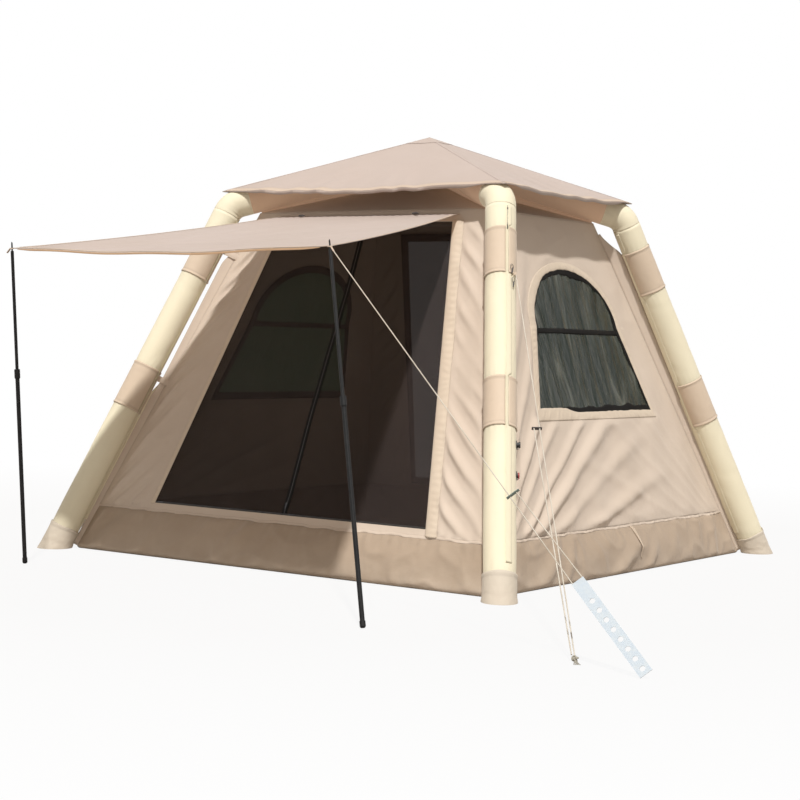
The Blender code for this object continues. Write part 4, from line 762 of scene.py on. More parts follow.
@dataclass(frozen=True)
class Studio:
    """A soft high light from the front right, an even sky and a pale floor."""

    sun_from: Triple = (0.302, -0.453, 0.839)
    sun_strength: float = 3.3
    sun_angle: float = 2.5
    sun_colour: Colour = (1.0, 0.975, 0.94)
    sky_strength: float = 0.41
    sky_colour: Colour = (1.0, 0.90, 0.80)
    glow_place: Triple = (0.1, 0.2, 1.1)
    glow_power: float = 7.0
    glow_radius: float = 0.4
    glow_colour: Colour = (1.0, 0.86, 0.72)
    floor_half: float = 45.0
    floor_colour: Colour = (0.44, 0.41, 0.38)
    floor_glow: float = 0.90
    floor_near: float = 3.2
    floor_far: float = 7.0
    floor_drop: float = 0.0005

    def build(self) -> None:
        """Make the lamps, the sky and the floor."""
        sun = self._lamp("sun", "SUN", self.sun_strength, self.sun_colour)
        sun.data.angle = math.radians(self.sun_angle)
        sun.rotation_euler = (-Vector(self.sun_from)).to_track_quat("-Z", "Y").to_euler()
        glow = self._lamp("cabin_glow", "POINT", self.glow_power, self.glow_colour)
        glow.data.shadow_soft_size = self.glow_radius
        glow.location = self.glow_place
        self._sky()
        self._floor()

    def _lamp(self, name: str, kind: str, energy: float, colour: Colour) -> bpy.types.Object:
        """A lamp: the sun, or the glow inside in place of daylight that the cloth lets through."""
        data = bpy.data.lights.new(name, kind)
        data.energy = energy
        data.color = colour
        lamp = bpy.data.objects.new(name, data)
        bpy.context.scene.collection.objects.link(lamp)
        return lamp

    def _sky(self) -> None:
        """An even warm sky that the camera, also in reflections, sees as white."""
        world = bpy.data.worlds.new("sky")
        bpy.context.scene.world = world
        world.use_nodes = True
        tree = world.node_tree
        sky = tree.nodes["Background"]
        rays = tree.nodes.new("ShaderNodeLightPath")
        seen = rays.outputs["Is Camera Ray"]
        for ray in ("Is Glossy Ray", "Is Transmission Ray"):
            either = tree.nodes.new("ShaderNodeMath")
            either.operation = "MAXIMUM"
            tree.links.new(seen, either.inputs[0])
            tree.links.new(rays.outputs[ray], either.inputs[1])
            seen = either.outputs[0]
        level = tree.nodes.new("ShaderNodeMapRange")
        level.inputs["To Min"].default_value = self.sky_strength
        level.inputs["To Max"].default_value = 1.0
        tree.links.new(seen, level.inputs["Value"])
        tree.links.new(level.outputs[0], sky.inputs["Strength"])
        colour = tree.nodes.new("ShaderNodeMix")
        colour.data_type = "RGBA"
        colour.inputs[6].default_value = (*self.sky_colour, 1.0)
        colour.inputs[7].default_value = (1.0, 1.0, 1.0, 1.0)
        tree.links.new(seen, colour.inputs[0])
        tree.links.new(colour.outputs[2], sky.inputs["Color"])

    def _floor(self) -> None:
        """A pale floor that keeps the shadow near the tent and turns white farther away."""
        board = NodeBoard("pale_floor")
        grain = board.noise(board.scaled("Object", (1.0, 1.0, 1.0)), 30.0, 0.0, 1.0)
        lighter = tuple(c * 1.02 for c in self.floor_colour)
        board.wire(Base_Color=board.blend(grain, self.floor_colour, lighter), Roughness=0.9)
        glow = board.add("ShaderNodeEmission", {"Color": (1.0, 1.0, 1.0, 1.0), "Strength": 1.0})
        rays = board.add("ShaderNodeLightPath")
        away = board.add("ShaderNodeVectorMath", {0: board.places.outputs["Object"]}, operation="LENGTH")
        fade = board.spread(
            away.outputs["Value"], self.floor_glow, 1.0, self.floor_near, self.floor_far
        )
        share = board.math("MULTIPLY", rays.outputs["Is Camera Ray"], fade)
        both = board.add(
            "ShaderNodeMixShader", {0: share, 1: board.shader.outputs[0], 2: glow.outputs[0]}
        )
        output = board.tree.nodes["Material Output"]
        board.tree.links.new(both.outputs[0], output.inputs["Surface"])
        shape = Shape()
        half = self.floor_half
        shape.grid(
            2, 2, lambda u, v: Vector((mix(-half, half, u), mix(-half, half, v), -self.floor_drop)),
            lambda u, v: (u, v),
        )
        floor = shape.finish("floor", [board.material], facing=way_up)


# ropes


@dataclass(frozen=True)
class Cord:
    """One strand of a guy rope: its name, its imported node, its body and its thickness."""

    name: str
    node: str
    body: Body
    diameter: float


@dataclass(frozen=True)
class GuyRopes:
    """The two guy ropes: their strands, the leg rope's knot and the sizes of the awning's tabs."""

    wardrobe: Wardrobe
    corner: Triple = (1.036, -2.311, 1.666)
    awning_end: Triple = (2.972, -2.827, 0.0200)
    strap_across: Triple = (-0.646, -0.450, -0.617)
    strap_length: float = 0.485
    strap_spread: float = 0.046
    slider_spread: float = 0.032
    slider_place: float = 0.765
    slider_depth: float = 0.0040
    gap: float = 0.0003
    tab_gap: float = 0.0008
    tab_reach: float = 0.038
    tab_width: float = 0.012
    tab_depth: float = 0.0024
    awning_diameter: float = 0.005
    leg_diameter: float = 0.006
    leg_end: Triple = (2.600, -2.711, 0.0170)
    knot_radius: float = 0.016
    knot_share: float = 0.35
    leg_slider_place: float = 0.470
    leg_spread_top: float = 0.026
    leg_spread_bottom: float = 0.012
    lug_slant: float = 0.62
    travel: float = 0.30
    twist: float = 0.016
    step: float = 0.008

    def build(self, lug_foot: Vector) -> None:
        """Make both ropes.

        Args:
            lug_foot: Where the leg's lug holds the leg rope.
        """
        self._awning_rope()
        self._leg_rope(lug_foot)

    def way(self) -> Vector:
        """The straight way of the awning's rope."""
        return (Vector(self.awning_end) - Vector(self.corner)).normalized()

    def _strand(self, cord: Cord, start: Vector, end: Vector, **ends: object) -> bpy.types.Object:
        """Lay a taut cord.

        Args:
            cord: What the strand is.
            start: The point that it leaves from.
            end: Its far end.
            ends: What holds the far end, and the pieces that move with the strand; not used.

        Returns:
            The strand.
        """
        length = (end - start).length
        path = line(start, end, max(int(length / self.step), 12))

        def radius(u: float, v: float) -> float:
            turns = u + v * length / self.twist
            return cord.diameter / 2 * (0.93 + 0.09 * math.cos(6.0 * math.pi * turns))

        shape = Shape()
        shape.tube(path, radius, 10)
        strand = shape.finish(cord.name, [self.wardrobe.rope], sharp_angle=80.0)
        enter(strand, cord.body, Slot.ROPE, cord.node)
        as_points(path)
        return strand

    def _return(self, cord: Cord, start: Vector, end: Vector) -> None:
        """Lay the strand that goes back from a slider.

        Args:
            cord: What the strand is.
            start: Its end at the slider.
            end: Its far end.
        """
        strand = self._strand(cord, start, end, far_end="object")
        1.0 - self.travel / (end - start).length
        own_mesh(strand)

    def _awning_rope(self) -> None:
        """The rope from the awning's corner to the ladder strap, and its return strand."""
        way = self.way()
        across = Vector(self.strap_across)
        across = (across - way * across.dot(way)).normalized()
        head = Vector(self.awning_end) - way * (self.strap_length + self.gap)
        foot = head + across * self.strap_spread / 2
        top = Vector(self.corner) + way * (self.tab_reach + self.tab_gap)
        rope = Cord("awning_rope", "awning_guy_rope", Body.GUY, self.awning_diameter)
        self._strand(
            rope, top, foot, far_end="fitting", with_pieces=["ladder_strap", "awning_guy_slider"]
        )
        main = (foot - top).normalized()
        point = top + main * ((foot - top).length * self.slider_place)
        start = point - across * self.slider_spread + main * (self.slider_depth / 2 + self.gap)
        end = head - across * self.strap_spread / 2
        back = Cord("awning_rope_return", "awning_guy_return", Body.GUY, self.awning_diameter)
        self._return(back, start, end)

    def _leg_rope(self, lug_foot: Vector) -> None:
        """The rope from the leg's lug to its knot on the ground, and its return strand."""
        way = (Vector(self.leg_end) - lug_foot).normalized()
        top = lug_foot + way * (self.gap + self.leg_diameter / 2 * self.lug_slant)
        across = way.cross(UP).normalized()
        foot = Vector(self.leg_end) - way * (self.knot_radius + self.gap)
        knot = self._knot(way)
        rope = Cord("leg_rope", "leg_guy_rope", Body.TENT, self.leg_diameter)
        self._strand(rope, top, foot, far_end="knot", with_pieces=[knot, "leg_guy_slider"])
        point = top + way * ((foot - top).length * self.leg_slider_place)
        start = point + across * self.leg_spread_top + way * (self.slider_depth / 2 + self.gap)
        end = foot + across * self.leg_spread_bottom - way * self.knot_radius * self.knot_share
        back = Cord("leg_rope_return", "leg_guy_return", Body.TENT, self.leg_diameter)
        self._return(back, start, end)

    def _knot(self, way: Vector) -> bpy.types.Object:
        """The knot at the leg rope's end, with its frayed tail on the ground."""
        shape = Shape()
        centre = Vector(self.leg_end)
        side = way.cross(UP).normalized()
        lift = side.cross(way)
        cord = self.leg_diameter * 0.62
        path = []
        for step in range(61):
            angle = math.tau * step / 60
            reach = (self.knot_radius - cord) * (0.62 + 0.38 * math.cos(3.0 * angle))
            path.append(
                centre + way * (reach * math.cos(2.0 * angle))
                + side * (reach * math.sin(2.0 * angle))
                + lift * (self.knot_radius * 0.42 * math.sin(3.0 * angle))
            )
        shape.tube(path, lambda u, v: cord, 10)
        level = Vector((way.x, way.y, 0.0)).normalized()
        for strand in range(14):
            spread = (strand / 13 - 0.5) * 2.0
            points = []
            for step in range(9):
                share = step / 8
                drift = ripple(Vector((strand * 3.1, share * 2.0, 0.0)), 1.0) * 0.004 * share
                points.append(
                    centre + level * (0.006 + 0.050 * share)
                    + side * (spread * (0.004 + 0.010 * share) + drift)
                    - UP * (centre.z - 0.003 - 0.010 * (1.0 - share) * (1.0 - abs(spread) * 0.6))
                )
            shape.tube(points, lambda u, v: 0.0013 * (1.15 - 0.5 * v), 6)
        knot = shape.finish("rope_knot", [self.wardrobe.frayed])
        return enter(knot, Body.TENT, Slot.KNOT, "leg_guy_knot")


# air frame


@dataclass(frozen=True)
class AirLeg:
    """One leaning leg and its roof beam: sleeve, bands, boot, bladder and zip welt."""

    wardrobe: Wardrobe
    name: str
    sign_x: int
    sign_y: int
    zip_azimuth: float
    foot_half: float = 1.500
    knee_half_x: float = 0.9306
    knee_half_y: float = 0.6824
    knee_height: float = 2.010
    hub_height: float = 2.345
    hub_seat: float = 0.145
    elbow_radius: float = 0.120
    radius: float = 0.0825
    wall: float = 0.0018
    bladder_radius: float = 0.078
    bladder_start: float = 0.055
    painted_shade_start: float = 0.12
    seam_drop: float = 0.010
    boot_length: float = 0.135
    boot_wall: float = 0.0025
    band_length: float = 0.272
    band_starts: Pair = (0.900, 1.762)
    band_ridge: float = 0.0036
    band_slot: float = 0.018
    ridge_place: float = 0.006
    ridge_width: float = 0.0038
    stitch_place: float = 0.020
    stitch_depth: float = 0.0006
    band_slack: float = 0.0012
    gather_depth: float = 0.0022
    gathers: int = 17
    pinch_reach: float = 0.035
    slack_depth: float = 0.0014
    elbow_tuck: float = 0.0035
    beam_slack: float = 0.001
    bladder_toe: float = 0.062
    weld_depth: float = 0.0004
    boot_crumple: float = 0.0036
    boot_crinkle: float = 0.0018
    boot_hem: float = 0.0024
    boot_flare: float = 0.0035
    boot_uneven: float = 0.0045
    sole_border: float = 0.012
    welt_start: float = 0.178
    welt_inner: float = 0.0062
    welt_outer: float = 0.030
    welt_covered: float = 0.0068
    welt_lift: float = 0.0042
    welt_roll: float = 0.0012
    welt_wander: float = 0.0012
    gap: float = 0.0003
    sides: int = 56

    @property
    def foot(self) -> Vector:
        """The leg's axis at the ground."""
        return Vector((self.sign_x * self.foot_half, self.sign_y * self.foot_half, 0.0))

    @property
    def knee(self) -> Vector:
        """Where the axes of leg and beam meet."""
        return Vector((self.sign_x * self.knee_half_x, self.sign_y * self.knee_half_y, self.knee_height))

    @property
    def up(self) -> Vector:
        """The way up the leg."""
        return (self.knee - self.foot).normalized()

    @property
    def inward(self) -> Vector:
        """The way up the roof beam to the hub."""
        return (Vector((0.0, 0.0, self.hub_height)) - self.knee).normalized()

    @property
    def length(self) -> float:
        """The leg's straight length, up to its elbow."""
        bend = self.up.angle(self.inward)
        return (self.knee - self.foot).length - self.elbow_radius * math.tan(bend / 2)

    def at(self, place: float) -> Vector:
        """The point of the leg's axis at a distance from the ground along it."""
        return self.foot + self.up * place

    def radial(self, azimuth: float) -> Vector:
        """The way out of the leg at a compass angle, square to the leg."""
        angle = math.radians(azimuth)
        level = Vector((math.cos(angle), math.sin(angle), 0.0))
        return (level - self.up * level.dot(self.up)).normalized()

    def round_point(self, turn: float, place: float, out: float) -> Vector:
        """A point round the leg, its turns counted from the zip."""
        start = self.radial(self.zip_azimuth)
        across = self.up.cross(start)
        angle = math.tau * turn
        return self.at(place) + (start * math.cos(angle) + across * math.sin(angle)) * out

    def ground(self, turn: float, out: float) -> float:
        """The place along the leg where a line of its skin meets the ground."""
        return -self.round_point(turn, 0.0, out).z / self.up.z

    def way_out(self, point: Vector) -> Vector:
        """The way from the leg's axis to a point near it."""
        return point - self.at((point - self.foot).dot(self.up))

    def _pinch(self, place: float) -> float:
        """How near a place is to a hem that gathers the sleeve, from 0 to 1."""
        edges = [self.boot_length]
        for start in self.band_starts:
            edges += [start, start + self.band_length]
        return max(math.exp(-abs(place - edge) / self.pinch_reach) for edge in edges)

    def _sleeve_out(self, turn: float, place: float) -> float:
        """The sleeve's radius, with gathers next to its hems."""
        point = self.round_point(turn, place, self.radius)
        tucks = math.sin(math.tau * self.gathers * turn + 5 * ripple(point, 0.12))
        gather = self._pinch(place) * (0.5 + 0.5 * tucks)
        slack = crease(point, 0.16, self.sign_x + 2.0 * self.sign_y)
        return self.radius - self.gather_depth * gather - self.slack_depth * slack

    def build(self) -> None:
        """Make every soft piece of the leg and its beam."""
        self._sleeve()
        self._beam()
        self._bladder()
        self._boot()
        for level, start in zip(("lower", "upper"), self.band_starts):
            self._band(level, start)

    def _sleeve(self) -> None:
        """The leg's sleeve, whose foot follows the ground, and the flap over its zip."""
        rise = (self.boot_wall + 0.002) / self.up.z
        high = self.length - self.seam_drop - self.gap
        shape = Shape()
        around = math.tau * self.radius

        def place(u: float, v: float) -> Vector:
            turn = u % 1.0
            spot = mix(self.ground(turn, self.radius) + rise, high, v)
            return self.round_point(turn, spot, self._sleeve_out(turn, spot))

        # The seam mask darkens the sleeve in the gathers next to the bands and the boot: painted shade.
        shape.grid(
            self.sides, 130, place, lambda u, v: (u * around, v * high), wrap=True,
            seam=lambda u, v: 0.6 * self._pinch(v * high),
        )
        sleeve = shape.finish(
            f"sleeve_{self.name}", [self.wardrobe.sleeve], self.wall, facing=self.way_out
        )
        enter(sleeve, Body.TENT, Slot.SLEEVE, f"leg_sleeve_{self.name}")
        self._welt(self.welt_start, high - 0.015)

    def _welt(self, low: float, high: float) -> None:
        """The storm flap over the leg's zip, narrow where a band covers it."""
        shape = Shape()
        fade = 0.02

        def place(u: float, v: float) -> Vector:
            spot = mix(low, high, v)
            covered = max(
                smooth_step(spot - start + fade, fade)
                * smooth_step(start + self.band_length + fade - spot, fade)
                for start in self.band_starts
            )
            wander = ripple(Vector((spot, self.sign_x, self.sign_y)), 0.06) * (1.0 - covered)
            outer = mix(self.welt_outer, self.welt_covered, covered)
            across = mix(-self.welt_inner, outer, u) + self.welt_wander * wander
            lift = self.welt_lift * (1.0 - u) ** 0.6 + self.welt_roll * math.exp(-((u / 0.12) ** 2))
            return self.round_point(across / (math.tau * self.radius), spot, self.radius + 0.0006 + lift)

        shape.grid(12, 220, place, lambda u, v: (u * 0.036, v * (high - low)), seam=lambda u, v: u**6)
        welt = shape.finish(f"zip_welt_{self.name}", [self.wardrobe.sleeve], 0.0008, facing=self.way_out)
        enter(welt, Body.TENT, Slot.SLEEVE)

    def _elbow_path(self, first: float, reach: float) -> list[Vector]:
        """The centre line from the top of the leg round its elbow and along the beam."""
        bend = self.up.angle(self.inward)
        axis = self.up.cross(self.inward).normalized()
        start = self.at(self.length)
        middle = start + axis.cross(self.up).normalized() * self.elbow_radius
        points = line(self.at(first), start, max(int((self.length - first) / 0.03), 2) + 1)
        for step in range(1, 17):
            turn = Matrix.Rotation(bend * step / 16, 3, axis)
            points.append(middle + turn @ (start - middle))
        end = Vector((0.0, 0.0, self.hub_height)) - self.inward * reach
        return points + line(points[-1], end, 34)[1:]

    def _beam(self) -> None:
        """The roof beam's sleeve, crumpled on the inner side of its elbow, and painted brown past its
        knee as painted shade under the fly.
        """
        path = self._elbow_path(self.length - self.seam_drop, self.hub_seat + self.gap)
        frames = carried_frames(path)
        inner = self.up.cross(self.inward).normalized().cross(self.up).normalized()

        def radius(u: float, v: float) -> float:
            angle = math.tau * u
            row = frames[round(v * (len(path) - 1))]
            out = row.to_3x3() @ Vector((math.cos(angle), math.sin(angle), 0.0))
            near_bend = math.exp(-((v - 0.10) / 0.07) ** 2)
            tucks = (0.5 + 0.5 * math.sin(v * 260.0)) * max(out.dot(inner), 0.0) * near_bend
            slack = crease(row.translation + out * 0.08, 0.15, 4.0)
            return self.radius - self.elbow_tuck * tucks - self.beam_slack * slack

        shape = Shape()
        shape.tube(path, radius, self.sides, closed_ends=False)

        def out_of_beam(point: Vector) -> Vector:
            return point - min(path, key=lambda item: (item - point).length)

        finishes = [self.wardrobe.sleeve, self.wardrobe.painted_light_underside]
        beam = shape.finish(f"beam_{self.name}", finishes, self.wall, facing=out_of_beam)
        # Past the knee the beam's outer faces take the brown underside finish: painted shade under the
        # fly, with its painted glow.
        for face in beam.data.polygons:
            if (face.center - self.knee).dot(self.inward) > self.painted_shade_start:
                face.material_index = 1
        enter(beam, Body.TENT, Slot.SLEEVE, f"roof_beam_sleeve_{self.name}")

    def _bladder(self) -> None:
        """The clear bladder inside, rounded at its foot and open at the hub."""
        low = self.bladder_start
        path = line(self.at(low), self.at(self.length - 0.06), 60) + self._elbow_path(
            self.length - 0.04, self.hub_seat + self.gap
        )

        def radius(u: float, v: float) -> float:
            toe = smooth_step(v * 3.2, 0.07)
            weld = self.weld_depth * abs(math.sin(math.tau * 2 * u))
            return mix(self.bladder_toe, self.bladder_radius, toe) - weld

        shape = Shape()
        shape.tube(path, radius, 32, closed_ends=False)
        shape.fill_foot(0.2)
        bladder = shape.finish(
            f"bladder_{self.name}", [self.wardrobe.bladder], 0.0010,
            facing=lambda point: self.way_out(point) if point.z < 1.5 else Vector((0.0, 0.0, 0.0)),
        )
        enter(bladder, Body.TENT, Slot.BLADDER, f"air_bladder_{self.name}")

    def _boot(self) -> None:
        """The boot: a crumpled cuff with a turned hem on top, a flared foot and a flat sole."""
        radius = self.radius + self.gap + self.boot_wall
        shape = Shape()

        def place(u: float, v: float) -> Vector:
            turn = u % 1.0
            probe = self.round_point(turn, v * self.boot_length, radius)
            crumple = self.boot_crumple * ripple(probe, 0.05, 3.0)
            wobble = abs(crumple + self.boot_crinkle * ripple(probe, 0.02, 5.0))
            hem = self.boot_hem * smooth_step(v - 0.86, 0.03)
            foot = self.boot_flare * (1.0 - smooth_step(v, 0.3)) + wobble * (0.3 + 0.7 * (1.0 - v))
            out = radius + hem + foot
            top = self.boot_length + self.boot_uneven * ripple(probe, 0.06, 7.0)
            return self.round_point(turn, mix(self.ground(turn, out), top, v), out)

        shape.grid(
            72, 22, place, lambda u, v: (u * 0.53, v * self.boot_length), wrap=True,
            seam=lambda u, v: math.exp(-abs(v - 0.87) / 0.03) + 0.5 * math.exp(-v / 0.05),
        )
        shape.fill_foot(0.003, self.sole_border)
        boot = shape.finish(
            f"cuff_{self.name}", [self.wardrobe.boot], self.boot_wall,
            facing=lambda point: self.way_out(point) if point.z > 0.01 else -UP,
        )
        enter(boot, Body.TENT, Slot.BOOT, f"boot_{self.name}")

    def _band(self, level: str, start: float) -> None:
        """A webbing band with piped edges, open where the zip runs through."""
        shape = Shape()
        slot = self.band_slot / 2 / (math.tau * self.radius)

        def place(u: float, v: float) -> Vector:
            turn = mix(slot, 1.0 - slot, u)
            spot = start + v * self.band_length
            edge = min(v, 1.0 - v) * self.band_length
            piping = self.band_ridge * math.exp(-((edge - self.ridge_place) / self.ridge_width) ** 2)
            stitch = self.stitch_depth * math.exp(-((edge - self.stitch_place) / 0.002) ** 2)
            skin = self.round_point(turn, spot, self.radius)
            slack = self.band_slack * abs(ripple(skin, 0.05, 9.0))
            return self.round_point(turn, spot, self.radius + self.gap * 3 + piping - stitch + slack)

        def seam(u: float, v: float) -> float:
            edge = min(v, 1.0 - v) * self.band_length
            return math.exp(-((edge - 0.018) / 0.005) ** 2)

        shape.grid(64, 68, place, lambda u, v: (u * 0.52, v * self.band_length), seam=seam)
        band = shape.finish(
            f"{level}_webbing_{self.name}", [self.wardrobe.band], 0.0012, outward=True,
            facing=self.way_out,
        )
        enter(band, Body.TENT, Slot.BAND, f"{level}_band_{self.name}")


@dataclass(frozen=True)
class FrontRightFittings:
    """Small fittings of the front right leg: the guy's lug, toggles and the zip's black end."""

    wardrobe: Wardrobe
    leg: AirLeg
    lug_place: float = 1.745
    lug_azimuth: float = -8.0
    lug_reach: float = 0.020
    lug_width: float = 0.016
    lug_depth: float = 0.0040
    lug_bevel: float = 0.0009
    rope_seat: float = 0.0030
    toggle_spots: tuple[Pair, ...] = ((1.775, -20.0), (1.700, -14.0))
    toggle_out: float = 0.0095
    toggle_radius: float = 0.0042
    cord_radius: float = 0.0012
    chain_drop: float = 0.028
    chain_length: float = 0.145
    chain_half: float = 0.0036
    chain_out: float = 0.0036

    def frame(self, place: float, azimuth: float) -> Matrix:
        """X across, Y out of the leg, Z up it."""
        out = self.leg.radial(azimuth)
        basis = Matrix((out.cross(self.leg.up), out, self.leg.up)).transposed().to_4x4()
        return Matrix.Translation(self.leg.at(place)) @ basis

    def lug_foot(self) -> Vector:
        """Where the leg's rope starts under the lug."""
        out = self.leg.radius + self.leg.gap + self.lug_reach - self.rope_seat
        return self.frame(self.lug_place, self.lug_azimuth) @ Vector((0.0, out, self.lug_width / 2))

    def build(self) -> None:
        """Make the fittings."""
        self._lug()
        self._toggles()
        self._chain()

    def _lug(self) -> None:
        """The webbing lug that the leg's rope is tied to."""
        shape = Shape()
        middle = self.leg.radius + self.leg.gap + self.lug_reach / 2
        place = self.frame(self.lug_place, self.lug_azimuth) @ Matrix.Translation(
            (0.0, middle, self.lug_width)
        )
        shape.box((self.lug_depth, self.lug_reach, self.lug_width), place, self.lug_bevel)
        lug = shape.finish("guy_lug", [self.wardrobe.band])
        enter(lug, Body.TENT, Slot.BAND)

    def _toggles(self) -> None:
        """Two small toggles, each with its loop of cord."""
        shape = Shape()
        out = self.leg.radius + self.toggle_out
        for place, azimuth in self.toggle_spots:
            frame = self.frame(place, azimuth)
            shape.tube(
                [frame @ Vector((x, out, z)) for x, z in ((-0.004, 0.018), (0.0, 0.0), (0.004, -0.018))],
                lambda u, v: self.toggle_radius * (0.75 + 0.25 * math.sin(math.pi * v)), 10,
            )
            loop = [
                frame @ Vector((0.010 * math.sin(a), out - 0.002, 0.022 + 0.016 * math.cos(a)))
                for a in (math.tau * step / 16 for step in range(17))
            ]
            shape.tube(loop, lambda u, v: self.cord_radius, 6)
        toggles = shape.finish("leg_toggles", [self.wardrobe.toggle])
        enter(toggles, Body.TENT, Slot.TOGGLE)

    def _chain(self) -> None:
        """The black end of the leg's zip, between the upper band and the elbow."""
        shape = Shape()
        high = self.leg.length - self.chain_drop

        def place(u: float, v: float) -> Vector:
            spot = mix(high - self.chain_length, high, v)
            turn = mix(-self.chain_half, self.chain_half, u) / (math.tau * self.leg.radius)
            crown = (0.0011 + 0.0006 * math.sin(v * 145.0)) * math.sin(math.pi * u)
            return self.leg.round_point(turn, spot, self.leg.radius + self.chain_out + crown)

        shape.grid(6, 140, place, lambda u, v: (u * 2.0 * self.chain_half, v * self.chain_length))
        chain = shape.finish("leg_zip_chain", [self.wardrobe.zip], 0.0006, facing=self.leg.way_out)
        enter(chain, Body.TENT, Slot.ZIP)


# cloth roofs


@dataclass(frozen=True)
class PyramidFly:
    """The fly sheet: four sagging slopes, a turned-down hem, ridge tapes and a patch."""

    wardrobe: Wardrobe
    leg: AirLeg
    beam_gap: float = 0.0031
    corner_reach: float = 0.055
    sag: float = 0.018
    hem_drop: float = 0.016
    corner_hem: float = 0.003
    corner_share: float = 0.14
    cloth: float = CLOTH
    cells: int = 104
    hem_width: float = 0.032
    hem_share: float = 0.985
    fan_depth: float = 0.0028
    ripple_depth: float = 0.005
    crease_depth: float = 0.0035
    flutter: float = 0.0012
    tape_start: float = 0.07
    tape_share: float = 0.018
    patch_shares: Pair = (0.115, 0.12)

    @property
    def reach(self) -> float:
        """How far the sheet goes past the knees, as a share of their distance."""
        plan = math.hypot(self.leg.knee_half_x, self.leg.knee_half_y)
        return (plan + self.corner_reach) / plan

    @property
    def half_sizes(self) -> Pair:
        """Half the sheet's width and half its depth."""
        return self.leg.knee_half_x * self.reach, self.leg.knee_half_y * self.reach

    @property
    def rise(self) -> float:
        """How much higher the hub is than the knees."""
        return self.leg.hub_height - self.leg.knee_height

    @property
    def apex(self) -> float:
        """The height of the sheet's underside over the hub."""
        slope = self.rise / self.leg.knee_half_y
        return self.leg.hub_height + (self.leg.radius + self.beam_gap) * math.sqrt(1.0 + slope**2)

    def surface(self, u: float, v: float, lift: float = 0.0) -> Vector:
        """The underside's point for u and v from -1 to 1, raised by a lift."""
        out = max(abs(u), abs(v))
        near = min(abs(u), abs(v)) / out if out else 1.0
        free = (1.0 - near**2) ** 2
        half_x, half_y = self.half_sizes
        point = Vector((u * half_x, v * half_y, 0.0))
        slack = smooth_step(1.0 - near, 0.22) * smooth_step(out - 0.22, 0.3)
        along = math.atan2(point.y, point.x)
        fan = math.sin(along * 26.0 + 3.0 * ripple(point, 0.4)) * smooth_step(out - 0.45, 0.5)
        folds = self.fan_depth * fan + self.ripple_depth * ripple(point, 0.28, 2.0)
        folds += self.crease_depth * crease(point, 0.34, 6.0)
        drop = self.rise * self.reach * out + self.sag * out * free
        point.z = self.apex - drop + folds * slack + lift
        return point

    def build(self) -> None:
        """Make the sheet and its trim."""
        shape = Shape()
        half = self.cells // 2
        made = bmesh.ops.create_grid(
            shape.bm, x_segments=self.cells + 2, y_segments=self.cells + 2, size=half + 1.0
        )
        self._split_ridges(shape)
        for vert in made["verts"]:
            x, y = vert.co.x, vert.co.y
            u, v = (min(max(c / half, -1.0), 1.0) for c in (x, y))
            point = self.surface(u, v)
            if max(abs(x), abs(y)) > half + 0.5:
                near = min(abs(u), abs(v)) / max(abs(u), abs(v))
                free = smooth_step(1.0 - near - self.corner_share, self.corner_share)
                flutter = self.flutter * ripple(point, 0.16, 1.0) * free
                point.z -= mix(self.corner_hem, self.hem_drop, free) + flutter
            vert.co = point
            vert[shape.seam] = math.exp(-(1.0 - max(abs(u), abs(v))) / 0.03) * 0.7
        for face in shape.bm.faces:
            for loop in face.loops:
                loop[shape.uv].uv = (loop.vert.co.x, loop.vert.co.y)
        bmesh.ops.remove_doubles(shape.bm, verts=shape.bm.verts, dist=MERGE_DISTANCE)
        fly = shape.finish("fly_sheet", [self.wardrobe.fly], self.cloth, outward=True, facing=way_up)
        enter(fly, Body.TENT, Slot.FLY, "fly_roof")
        half_x, half_y = self.half_sizes
        self._hem()
        self._tapes()
        self._patch()

    def _split_ridges(self, shape: Shape) -> None:
        """Split the faces on the sheet's diagonals, so that the ridges are crisp."""
        for face in list(shape.bm.faces):
            middle = face.calc_center_median()
            if abs(abs(middle.x) - abs(middle.y)) < 0.01:
                ends = sorted(face.verts, key=lambda vert: abs(vert.co.x) + abs(vert.co.y))
                bmesh.utils.face_split(face, ends[0], ends[-1])

    def _hem_point(self, aside: bool, sign: float, u: float, v: float) -> Vector:
        """A point of the hem strip on one of the four slopes."""
        inset = self.hem_width / (self.leg.knee_half_x if aside else self.leg.knee_half_y)
        out = 1.0 - inset * (1.0 - v)
        share = mix(-1.0, 1.0, u) * self.hem_share
        spot = (sign * out, share * out) if aside else (share * out, sign * out)
        return self.surface(*spot, self.cloth + 0.0006 + 0.0006 * math.sin(u * 420.0))

    def _hem(self) -> bpy.types.Object:
        """The puckered hem strips along the four eaves."""
        shape = Shape()
        for sign in (1.0, -1.0):
            for aside in (False, True):
                shape.grid(
                    180, 5, partial(self._hem_point, aside, sign),
                    lambda u, v: (u * 2.0, v * self.hem_width),
                    seam=lambda u, v: math.exp(-abs(v - 0.15) / 0.1),
                )
        hem = shape.finish("fly_hem", [self.wardrobe.hem], 0.0012, outward=True, facing=way_up)
        return enter(hem, Body.TENT, Slot.FLY)

    def _tape_point(self, sign_x: int, sign_y: int, u: float, v: float) -> Vector:
        """A point of the tape that is folded over one ridge."""
        share = mix(self.tape_start, self.hem_share, v)
        side = mix(-self.tape_share, self.tape_share, u)
        spot = (sign_x * (share - max(side, 0.0)), sign_y * (share - max(-side, 0.0)))
        return self.surface(*spot, self.cloth + 0.0005 + 0.0003 * math.sin(v * 700.0))

    def _tapes(self) -> bpy.types.Object:
        """The stitched tapes along the four ridges."""
        shape = Shape()
        for signs in ((1, 1), (1, -1), (-1, 1), (-1, -1)):
            shape.grid(
                6, 110, partial(self._tape_point, *signs), lambda u, v: (u * 0.03, v * 1.2),
                seam=lambda u, v: abs(2.0 * u - 1.0) ** 4,
            )
        tapes = shape.finish("fly_ridge_tape", [self.wardrobe.fly], 0.0007, outward=True, facing=way_up)
        return enter(tapes, Body.TENT, Slot.FLY)

